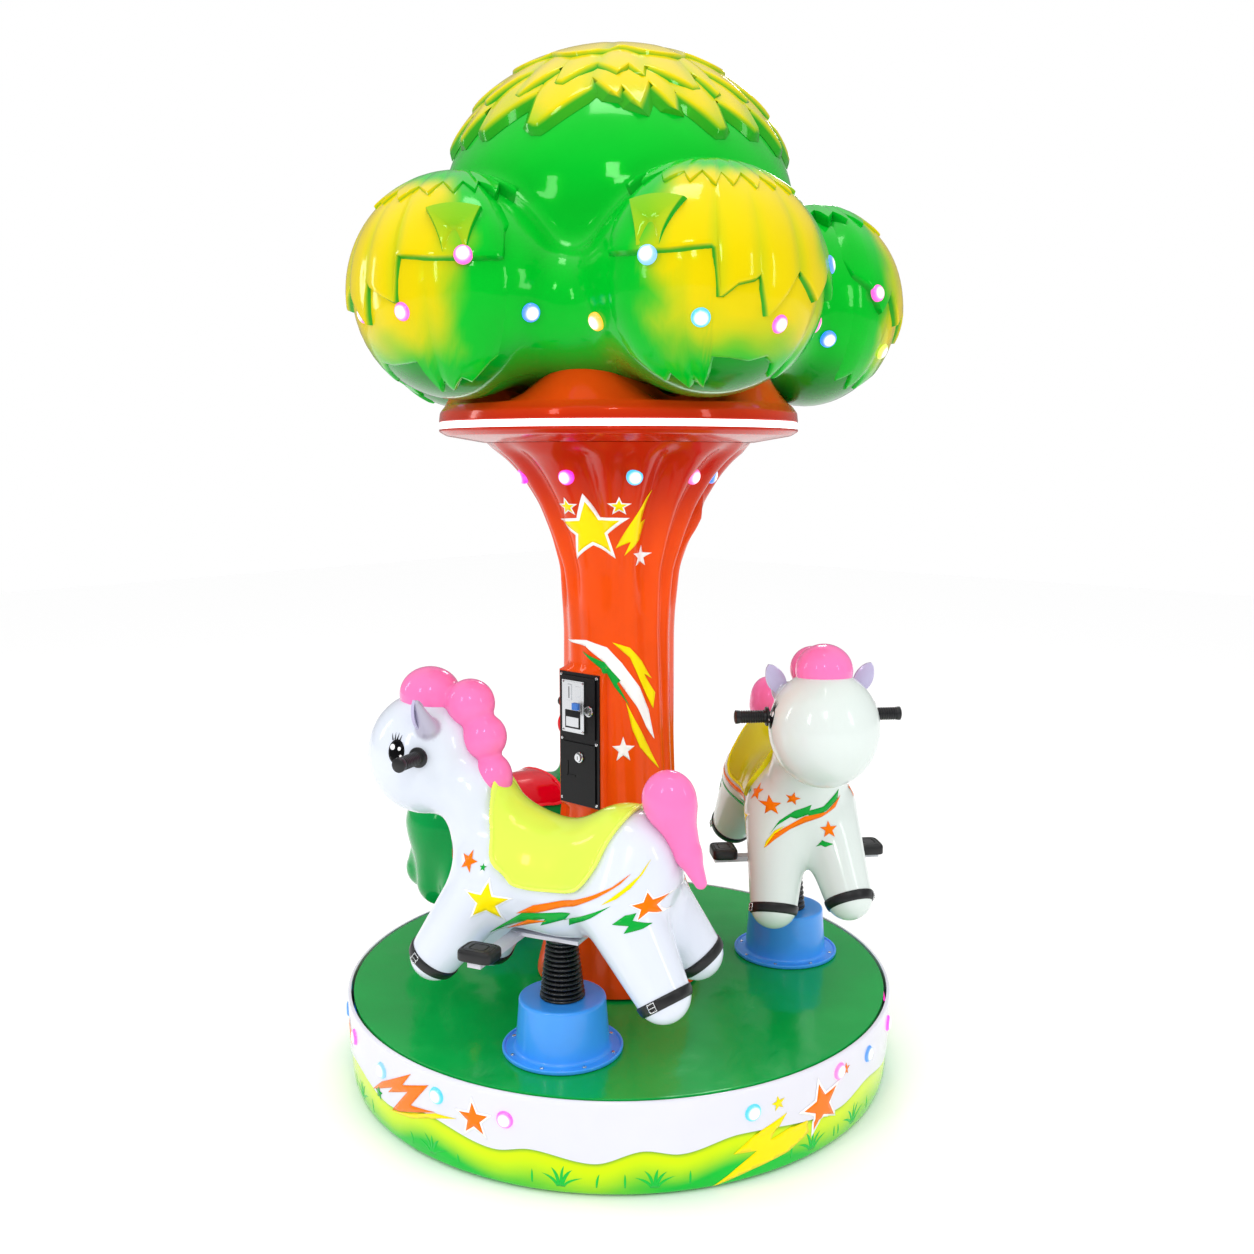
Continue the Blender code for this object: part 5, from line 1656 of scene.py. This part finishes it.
def coin_pieces(settings):
    black = plain_finish(
        "powder_coated_steel_black", settings.panel, 0.30, (0.05, 400.0), 0.15, 0.3,
        Specular_IOR_Level=0.25,
    )
    mirror = chrome()
    for node in ("coin_housing", "coin_door", "cash_door"):
        dress(node, black)
    for node in ("coin_plate", "coin_lock", "cash_lock"):
        dress(node, mirror)
    face, plate, door_face = (
        float(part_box(node)[0][1]) for node in ("coin_housing", "coin_plate", "cash_door")
    )
    screws = []
    for x, z in PANEL_SCREWS:
        head = lathe([(0.0042, 0), (0.0042, 0.0008), (0.0034, 0.0020), (0.0012, 0.0024)], 20, 0, False)
        cross = slab((-0.0026, -0.0004, 0.0022), (0.0026, 0.0004, 0.0028), 0.0001, 1)
        screws += [facing_front(part, x, DECK_Z + z, face) for part in (head, cross)]
    make_piece("panel_screws", screws, [mirror, black], "base", (), None, 40)

    fittings = []
    for x0, z0, x1, z1, rise, slot in (
        (-0.0415, 0.6215, 0.0235, 0.7395, 0.0008, 0), (-0.0245, 0.6950, -0.0125, 0.7330, 0.0032, 0),
        (-0.0200, 0.7000, -0.0170, 0.7280, 0.0036, 1), (0.0000, 0.7060, 0.0160, 0.7300, 0.0016, 0),
        (-0.0330, 0.6290, 0.0150, 0.6720, 0.0020, 1), (-0.0290, 0.6330, 0.0110, 0.6560, 0.0030, 0),
        (-0.0080, 0.6740, 0.0090, 0.6900, 0.0060, 2),
    ):
        part = slab((x0, z0, -0.0005), (x1, z1, rise), 0.0005, slot)
        fittings.append(facing_front(part, 0, DECK_Z, plate))
    for x, z in ((-0.0395, 0.7375), (0.0215, 0.7375), (-0.0395, 0.6235), (0.0215, 0.6235)):
        head = lathe([(0.0030, 0), (0.0030, 0.0012), (0.0012, 0.0020)], 14, 0, False)
        fittings.append(facing_front(head, x, DECK_Z + z, plate - 0.0006))
    blue = plain_finish("moulded_abs_button", linear("3C7EDC"), 0.3, (0.03, 200.0), 0.05)
    make_piece("coin_selector_fittings", fittings, [mirror, black, blue], "coin_door", (), None, 30)

    ring = [(0.0093, 0.0), (0.0128, 0.0), (0.0132, 0.0018), (0.0120, 0.0034), (0.0098, 0.0038)]
    for door, x, z in (("coin", 0.038, 0.674), ("cash", 0.007, 0.561)):
        front = float(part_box(door + "_lock")[0][1])
        turned = lathe([*ring, ring[0]], 28, 0, False, False)
        key = slab((-0.0008, -0.0042, -0.0002), (0.0008, 0.0042, 0.0005), 0.0002, 1)
        parts = [
            facing_front(turned, x, DECK_Z + z, front + 0.0078), facing_front(key, x, DECK_Z + z, front),
        ]
        if door == "cash":
            for x0, z0, x1, z1 in ((-0.034, 0.512, -0.030, 0.548), (-0.034, 0.512, -0.006, 0.516)):
                mark = slab((x0, z0, 0), (x1, z1, 0.0012), 0.0004, 1)
                parts.append(facing_front(mark, 0, DECK_Z, door_face))
        make_piece(door + "_door_lock_ring", parts, [mirror, black], door + "_door", (), None, 30)


# Stickers on column and skirt

# ("star", (azimuth, height), radius, turn, colour, lift) or ("shape", outline, colour, lift)
COLUMN_STICKERS = (
    ("star", (-70.2, 1.094), 0.083, 2, "white", 0.0012),
    ("star", (-70.2, 1.094), 0.064, 2, "yellow", 0.0018),
    ("star", (-83.7, 1.146), 0.022, 0, "white", 0.0012),
    ("star", (-83.7, 1.146), 0.015, 0, "yellow", 0.0018),
    ("star", (-47.7, 1.148), 0.022, 0, "white", 0.0012),
    ("star", (-47.7, 1.148), 0.015, 0, "yellow", 0.0018),
    ("star", (-26.4, 1.033), 0.026, 0, "white", 0.0012),
    ("star", (-43.5, 0.583), 0.031, 0, "white", 0.0012),
    (
        "shape",
        ((-25.3, 1.1844), (-38.0, 1.1184), (-50.7, 1.052), (-38.7, 1.0686), (-43.4, 1.0352),
         (-30.1, 1.0737), (-26.0, 1.1179), (-31.4, 1.1116)),
        "yellow", 0.0012,
    ),
    (
        "shape",
        ((-118, 0.8315), (-82.3, 0.8378), (-59.9, 0.8234), (-44.7, 0.7862), (-26.4, 0.7293),
         (-14.9, 0.6741), (-8.4, 0.6022), (-17.9, 0.6335), (-29.2, 0.6829), (-48.5, 0.7456),
         (-62.6, 0.7884), (-83.9, 0.8229)),
        "white", 0.0010,
    ),
    (
        "shape",
        ((-88.8, 0.8103), (-62.6, 0.7884), (-46.0, 0.7456), (-49.8, 0.7397), (-37.1, 0.6868),
         (-52.3, 0.7309), (-59.9, 0.7626)),
        "green", 0.0016,
    ),
    (
        "shape",
        ((-40.9, 0.6958), (-31.9, 0.654), (-15, 0.5854), (-3.9, 0.5309), (-26.5, 0.5882), (-34.5, 0.6308)),
        "yellow", 0.0014,
    ),
    (
        "shape",
        ((-54.8, 0.8352), (-37, 0.8234), (-23.7, 0.7901), (-11.8, 0.7469), (-20.9, 0.7605),
         (-8.4, 0.7136), (-10.2, 0.6758), (-26.4, 0.7468), (-37, 0.8003)),
        "yellow", 0.0018,
    ),
)
SKIRT_STICKERS = (
    (
        "shape",
        ((-103.5, -0.121), (-99.3, -0.084), (-89.4, -0.024), (-92.1, -0.060), (-84.7, -0.031),
         (-89.8, -0.096), (-83.3, -0.086), (-96.1, -0.136), (-90.6, -0.069), (-97.05, -0.098),
         (-95.4, -0.080)),
        "orange", 0.0012,
    ),
    (
        "shape",
        ((-97.5, -0.142), (-90.5, -0.118), (-83.3, -0.088), (-78.3, -0.083), (-81.8, -0.094),
         (-90.0, -0.128)),
        "yellow", 0.0009,
    ),
    ("star", (-100.8, -0.118), 0.017, 0, "green", 0.0012),
    ("star", (-74.6, -0.072), 0.049, 4, "white", 0.0009),
    ("star", (-74.6, -0.072), 0.036, 4, "orange", 0.0014),
    ("star", (-18.4, -0.048), 0.017, 10, "yellow", 0.0012),
    (
        "shape",
        ((-16.4, -0.0755), (-22.0, -0.0974), (-27.3, -0.1368), (-22.5, -0.1415), (-26.5, -0.1677),
         (-31.0, -0.2012), (-23.4, -0.1805), (-15.6, -0.1668), (-10.5, -0.142), (-11.3, -0.1111),
         (-15.2, -0.1132), (-19.7, -0.126)),
        "yellow", 0.0009,
    ),
    ("star", (-7.6, -0.092), 0.070, 14, "white", 0.0013),
    ("star", (-7.6, -0.092), 0.054, 14, "orange", 0.0018),
    ("star", (-0.5, -0.041), 0.015, 0, "orange", 0.0012),
)
# azimuth and radius of the stars on the far side
SKIRT_BEHIND = ((60, 0.040), (105, 0.034), (150, 0.042), (200, 0.036), (240, 0.040))


def wrapped_sticker(item, reach, mean_radius, spacing=0.006):
    """A plane outline wound round the column or skirt: its width is arc length at mean_radius."""
    turn = np.degrees(1 / mean_radius)
    if item[0] == "star":
        _, (azimuth, z), radius, turned, colour, lift = item
        outline = star((azimuth / turn, z), radius, turned)
    else:
        _, outline, colour, lift = item
        outline = np.array(outline) / [turn, 1]
    flat, faces = sheet_of(outline, spacing)
    azimuth = flat[:, 0] * turn
    radius = reach(azimuth, flat[:, 1]) + lift
    points = around_z(radius, np.radians(azimuth), flat[:, 1] + DECK_Z)
    return film_of(points, faces, points[faces[:, 0]] * [1, 1, 0], SLOTS[colour])


def skirt_reach(azimuth, z):
    """The finished skirt's radius: the white band stands proud of the painted grass."""
    band = z > through(BAND_EDGE, azimuth) - 0.006
    return skirt_radius(z + DECK_Z) - np.where(band, BAND_INSET, GRASS_INSET)


def sticker_pieces(settings):
    column = [wrapped_sticker(item, column_radius, 0.150) for item in COLUMN_STICKERS]
    film = make_piece("column_stickers", column, sticker_paints(), "base", (), None, 60)
    thickened(film, settings.film)
    items = list(SKIRT_STICKERS)
    for azimuth, radius in SKIRT_BEHIND:
        for share, colour, lift in ((1.0, "white", 0.0009), (0.74, "orange", 0.0014)):
            items.append(("star", (azimuth, -0.068), radius * share, 5, colour, lift))
    skirt = [wrapped_sticker(item, skirt_reach, SKIRT_R, 0.008) for item in items]
    film = make_piece("skirt_stickers", skirt + grass_blades(), sticker_paints(6), "base", (), None, 60)
    thickened(film, settings.film)


# Lights

# azimuth, height over the deck, colour
SKIRT_LIGHTS = (
    (-128, -0.055, "blue"), (-114, -0.052, "pink"), (-99.2, -0.058, "ice"), (-82.8, -0.047, "cyan"),
    (-68.3, -0.057, "pink"), (-23.7, -0.053, "cyan"), (-2.6, -0.036, "rose"), (8.7, -0.048, "blue"),
    (24, -0.052, "magenta"), (39, -0.055, "pink"), (54, -0.048, "cyan"), (69, -0.056, "blue"),
    (84, -0.050, "rose"), (99, -0.057, "ice"), (114, -0.049, "magenta"), (129, -0.055, "cyan"),
    (144, -0.050, "pink"), (159, -0.056, "blue"), (174, -0.049, "rose"), (189, -0.055, "ice"),
    (204, -0.050, "magenta"), (218, -0.056, "cyan"),
)
FLARE_LIGHTS = ("magenta", "magenta", "cyan", "rose", "blue", "pink", "cyan", "magenta", "ice", "rose")
# azimuth from the lobe's outward direction, height over its centre, colour
LOBE_LIGHTS = (
    ((-14, -0.052, "pink"), (20, -0.058, "pink"), (92, -0.058, "blue"), (54, 0.038, "pink"),
     (-62, -0.06, "cyan"), (-100, -0.055, "amber")),
    ((-94, -0.076, "amber"), (-26, -0.082, "cyan"), (16, -0.088, "pink"), (75, -0.070, "rose"),
     (-50, 0.026, "ice"), (56, 0.034, "blue")),
    ((-92, -0.082, "blue"), (-38, -0.100, "lime"), (-62, 0.014, "pink"), (18, -0.08, "cyan"),
     (75, -0.07, "rose"), (58, 0.04, "ice")),
    ((-88, -0.07, "pink"), (-30, -0.08, "blue"), (18, -0.08, "rose"), (75, -0.07, "amber"),
     (-58, 0.04, "cyan"), (58, 0.04, "magenta")),
    ((-88, -0.07, "ice"), (-30, -0.08, "magenta"), (18, -0.08, "lime"), (75, -0.07, "blue"),
     (-58, 0.04, "rose"), (58, 0.04, "cyan")),
)


def light_pieces(settings):
    paints = [lit_dome("led_lens_" + key, linear(colour), 1.5) for key, colour in DOME_COLOURS.items()]
    lens = settings.lens_radius
    domes = []
    for azimuth, height, colour in SKIRT_LIGHTS:
        turn = np.radians(azimuth)
        place = around_z(skirt_reach(azimuth, height), turn, DECK_Z + height)
        domes.append(light_dome(place, around_z(1.0, turn, 0.0), colour, lens, 0.0085))
    height = 1.214
    for k, colour in enumerate(FLARE_LIGHTS):
        azimuth = -114.6 + 37.6 * k if k < 4 else -2.7 + 35.4 * (k - 3)
        turn = np.radians(azimuth)
        below, radius, above = column_radius(azimuth, height + np.array([-0.02, 0.0, 0.02]))
        lean = np.array([0.04, above - below])
        lean /= np.linalg.norm(lean)
        out = around_z(lean[0], turn, -lean[1] * 0.35)
        place = around_z(radius, turn, DECK_Z + height)
        domes.append(light_dome(place + 0.002 * out, out, colour, lens, 0.013))
    bare = crown_field()
    for i, row in enumerate(LOBE_LIGHTS):
        for apart, height, colour in row:
            polar = np.degrees(np.arccos(height / LOBE_CORE[2]))
            place, out = seated(bare, *on_lobe(i, apart, polar, 0.0))
            lift = 0.016 if height > 0 else 0.004
            domes.append(light_dome(place + lift * out, out, colour, lens, 0.010))
    make_piece("light_domes", domes, paints, "base", (), None, 50)
    dress("collar_light_strip", lit_dome("opal_acrylic_strip", linear("F4F7FF"), 3.0))


# Stage


def stage_pieces(settings):
    scene = bpy.context.scene
    camera_data = bpy.data.cameras.new("photo_view")
    camera_data.lens = 35.66
    camera_data.sensor_width = 36.0
    camera = bpy.data.objects.new("photo_view", camera_data)
    camera.location = (1.976, -2.187, 1.467)
    camera.rotation_euler = [np.radians(a) for a in (82.18, 0, 41.72)]
    scene.collection.objects.link(camera)
    scene.camera = camera
    scene.view_settings.view_transform = "Standard"

    floor_paint = plain_finish("studio_floor", linear("FDFDFD"), 0.6, wear=0.0, Specular_IOR_Level=0.0)
    size = 12.0
    corner = np.array([(-size, -size, 0), (size, -size, 0), (size, size, 0), (-size, size, 0)], float)
    mesh = bpy.data.meshes.new("studio_floor")
    mesh.from_pydata(corner.tolist(), [], [(0, 1, 2, 3)])
    mesh.materials.append(floor_paint)
    floor = bpy.data.objects.new("studio_floor", mesh)
    scene.collection.objects.link(floor)

    world = bpy.data.worlds.new("studio")
    scene.world = world
    world.use_nodes = True
    back = world.node_tree.nodes["Background"]
    back.inputs["Color"].default_value = (1.0, 1.0, 1.0, 1.0)
    tree = world.node_tree
    way = add_node(tree, "ShaderNodeTexCoord").outputs["Generated"]
    rise = add_node(tree, "ShaderNodeSeparateXYZ", {"Vector": way}).outputs["Z"]
    hall = add_node(
        tree, "ShaderNodeMapRange",
        {"Value": rise, "From Min": 0.40, "From Max": 0.90, "To Min": 0.30, "To Max": 1.0},
    ).outputs["Result"]
    mirrored = add_node(tree, "ShaderNodeLightPath").outputs["Is Glossy Ray"]
    strength = add_node(tree, "ShaderNodeMix", {"Factor": mirrored, "A": settings.surround, "B": hall})
    tree.links.new(strength.outputs["Result"], back.inputs["Strength"])
    for name, place, size, power in (
        ("key", (2.6, -3.2, 3.6), (0.5, 0.9), 26), ("window", (0.2, -3.9, 2.6), (0.35, 1.2), 16),
        ("fill", (3.9, 0.3, 2.4), (0.3, 1.4), 12), ("left", (-3.0, -2.2, 2.2), (0.3, 1.6), 12),
        ("top", (0.4, -0.6, 5.0), (1.0, 1.0), 24), ("back", (-1.8, 3.2, 3.4), (0.8, 0.8), 20),
    ):
        lamp = bpy.data.lights.new(name, "AREA")
        lamp.shape = "RECTANGLE"
        lamp.size, lamp.size_y = size
        lamp.energy = power * settings.lamps
        obj = bpy.data.objects.new(name, lamp)
        obj.location = place
        aim = mathutils.Vector((0, 0, 1.2)) - obj.location
        obj.rotation_euler = aim.to_track_quat("-Z", "Y").to_euler()
        scene.collection.objects.link(obj)


# Add-on


def colour_of(name, description, value):
    return bpy.props.FloatVectorProperty(
        name=name, description=description, subtype="COLOR", size=4, min=0, max=1, default=linear(value),
    )


def size_of(name, description, value):
    return bpy.props.FloatProperty(
        name=name, description=description, unit="LENGTH", precision=4, min=0, default=value
    )


class CAROUSEL_PG_finish(bpy.types.PropertyGroup):
    """Colours of the carousel's gel coats and plastics, and the fine sizes of its finish."""

    green: colour_of("Leaf green", "Gel coat of the crown", "00B626")
    yellow: colour_of("Leaf yellow", "Colour airbrushed on the crown's outer side", "E2CA00")
    orange: colour_of("Bark orange", "Gel coat of the column and collar", "EE500C")
    # the darker red of the painted shade under the collar, on the collar's lower part and at the column's
    # foot
    shade: colour_of("Bark red", "Colour airbrushed under the collar", "C0260C")
    band: colour_of("Band white", "Gel coat of the skirt's upper band", "E2E2EC")
    grass_low: colour_of("Grass green", "Gel coat at the skirt's foot", "10C038")
    grass_high: colour_of("Grass yellow", "Colour airbrushed under the band", "D6EE00")
    deck: colour_of("Deck green", "Gel coat of the turning deck", "06A244")
    pony_front: colour_of("Front pony", "Gel coat of the front pony", "DBE1ED")
    pony_right: colour_of("Right pony", "Gel coat of the right pony", "DDE6E2")
    pink: colour_of("Mane pink", "Gel coat of the manes and tails", "FF7CBC")
    dino: colour_of("Dinosaur green", "Gel coat of the third figure", "0A9A48")
    red: colour_of("Dinosaur red", "Gel coat of its crest and saddle", "E00020")
    saddle_front: colour_of("Front saddle", "Gel coat of the front saddle", "D8F055")
    saddle_right: colour_of("Right saddle", "Gel coat of the right saddle", "C8C21A")
    cup: colour_of("Cup blue", "Plastic of the three cups", "3A9DFF")
    panel: colour_of("Panel black", "Powder coat of the coin panel", "08080B")
    leaf_rise: size_of("Leaf height", "Height of a lobe's upper leaves over its bare form", 0.0165)
    crest_rise: size_of("Crest height", "Height of the cap's top plates over its dome", 0.0240)
    lens_radius: size_of("Light radius", "Radius of each light dome's lens", 0.0185)
    film: size_of("Film thickness", "Thickness of the stickers on the column and skirt", 0.0005)


class CAROUSEL_PG_stage(bpy.types.PropertyGroup):
    """Light of the studio."""

    surround: bpy.props.FloatProperty(
        name="Surround", description="Strength of the white surround", default=1.0, min=0
    )
    lamps: bpy.props.FloatProperty(
        name="Lamps", description="Factor on the soft lamps' power", default=1.0, min=0
    )


class CAROUSEL_OT_stage(bpy.types.Operator):
    """Camera, floor, surround and soft lamps"""

    bl_idname = "carousel.stage"
    bl_label = "Stage"

    def execute(self, context):
        stage_pieces(context.scene.carousel_stage)
        return {"FINISHED"}


class CAROUSEL_OT_crown(bpy.types.Operator):
    """The lobed crown with its leaf shells and cap"""

    bl_idname = "carousel.crown"
    bl_label = "Crown"

    def execute(self, context):
        crown_pieces(context.scene.carousel_finish)
        return {"FINISHED"}


class CAROUSEL_OT_column(bpy.types.Operator):
    """The fluted column and the collar under the crown"""

    bl_idname = "carousel.column"
    bl_label = "Column"

    def execute(self, context):
        column_pieces(context.scene.carousel_finish)
        return {"FINISHED"}


class CAROUSEL_OT_platform(bpy.types.Operator):
    """The skirt with its painted grass, and the deck"""

    bl_idname = "carousel.platform"
    bl_label = "Platform"

    def execute(self, context):
        platform_pieces(context.scene.carousel_finish)
        return {"FINISHED"}


class CAROUSEL_OT_figures(bpy.types.Operator):
    """The two ponies and the little dinosaur, with saddles and markings"""

    bl_idname = "carousel.figures"
    bl_label = "Figures"

    def execute(self, context):
        figure_pieces(context.scene.carousel_finish)
        return {"FINISHED"}


class CAROUSEL_OT_lifts(bpy.types.Operator):
    """Cups, bellows, handle grips, footrest pads and frames"""

    bl_idname = "carousel.lifts"
    bl_label = "Lifts"

    def execute(self, context):
        lift_pieces(context.scene.carousel_finish)
        return {"FINISHED"}


class CAROUSEL_OT_coin_panel(bpy.types.Operator):
    """Screws, selector fittings and lock rings of the coin panel"""

    bl_idname = "carousel.coin_panel"
    bl_label = "Coin panel"

    def execute(self, context):
        coin_pieces(context.scene.carousel_finish)
        return {"FINISHED"}


class CAROUSEL_OT_stickers(bpy.types.Operator):
    """Stickers on the column and the skirt"""

    bl_idname = "carousel.stickers"
    bl_label = "Stickers"

    def execute(self, context):
        sticker_pieces(context.scene.carousel_finish)
        return {"FINISHED"}


class CAROUSEL_OT_lights(bpy.types.Operator):
    """Light domes and the lit strip"""

    bl_idname = "carousel.lights"
    bl_label = "Lights"

    def execute(self, context):
        light_pieces(context.scene.carousel_finish)
        return {"FINISHED"}


OPERATORS = (
    CAROUSEL_OT_stage, CAROUSEL_OT_platform, CAROUSEL_OT_column, CAROUSEL_OT_crown, CAROUSEL_OT_figures,
    CAROUSEL_OT_lifts, CAROUSEL_OT_coin_panel, CAROUSEL_OT_stickers, CAROUSEL_OT_lights,
)


class CAROUSEL_PT_panel(bpy.types.Panel):
    """Lists the carousel's pieces with their colours"""

    bl_idname = "CAROUSEL_PT_panel"
    bl_label = "Kiddie Carousel"
    bl_space_type = "VIEW_3D"
    bl_region_type = "UI"
    bl_category = "Carousel"

    def draw(self, context):
        layout = self.layout
        for settings in (context.scene.carousel_finish, context.scene.carousel_stage):
            column = layout.column()
            for key in settings.__annotations__:
                column.prop(settings, key)
        for operator in OPERATORS:
            layout.operator(operator.bl_idname)


CLASSES = (CAROUSEL_PG_finish, CAROUSEL_PG_stage, *OPERATORS, CAROUSEL_PT_panel)


def register():
    for cls in CLASSES:
        bpy.utils.register_class(cls)
    bpy.types.Scene.carousel_finish = bpy.props.PointerProperty(type=CAROUSEL_PG_finish)
    bpy.types.Scene.carousel_stage = bpy.props.PointerProperty(type=CAROUSEL_PG_stage)


def unregister():
    del bpy.types.Scene.carousel_stage
    del bpy.types.Scene.carousel_finish
    for cls in reversed(CLASSES):
        bpy.utils.unregister_class(cls)


def main():
    register()
    dress("machine_base", plain_finish("painted_steel_dark", linear("3C4044"), 0.5, (0.08, 30.0), 0.15, 0.2))
    dress(
        "slewing_ring",
        plain_finish("turned_steel", linear("9A9DA1"), 0.35, (0.08, 120.0), 0.08, 0.1, Metallic=1.0),
    )
    bpy.ops.carousel.stage()
    bpy.ops.carousel.platform()
    bpy.ops.carousel.column()
    bpy.ops.carousel.crown()
    bpy.ops.carousel.figures()
    bpy.ops.carousel.lifts()
    bpy.ops.carousel.coin_panel()
    bpy.ops.carousel.stickers()
    bpy.ops.carousel.lights()


if __name__ == "__main__":
    main()
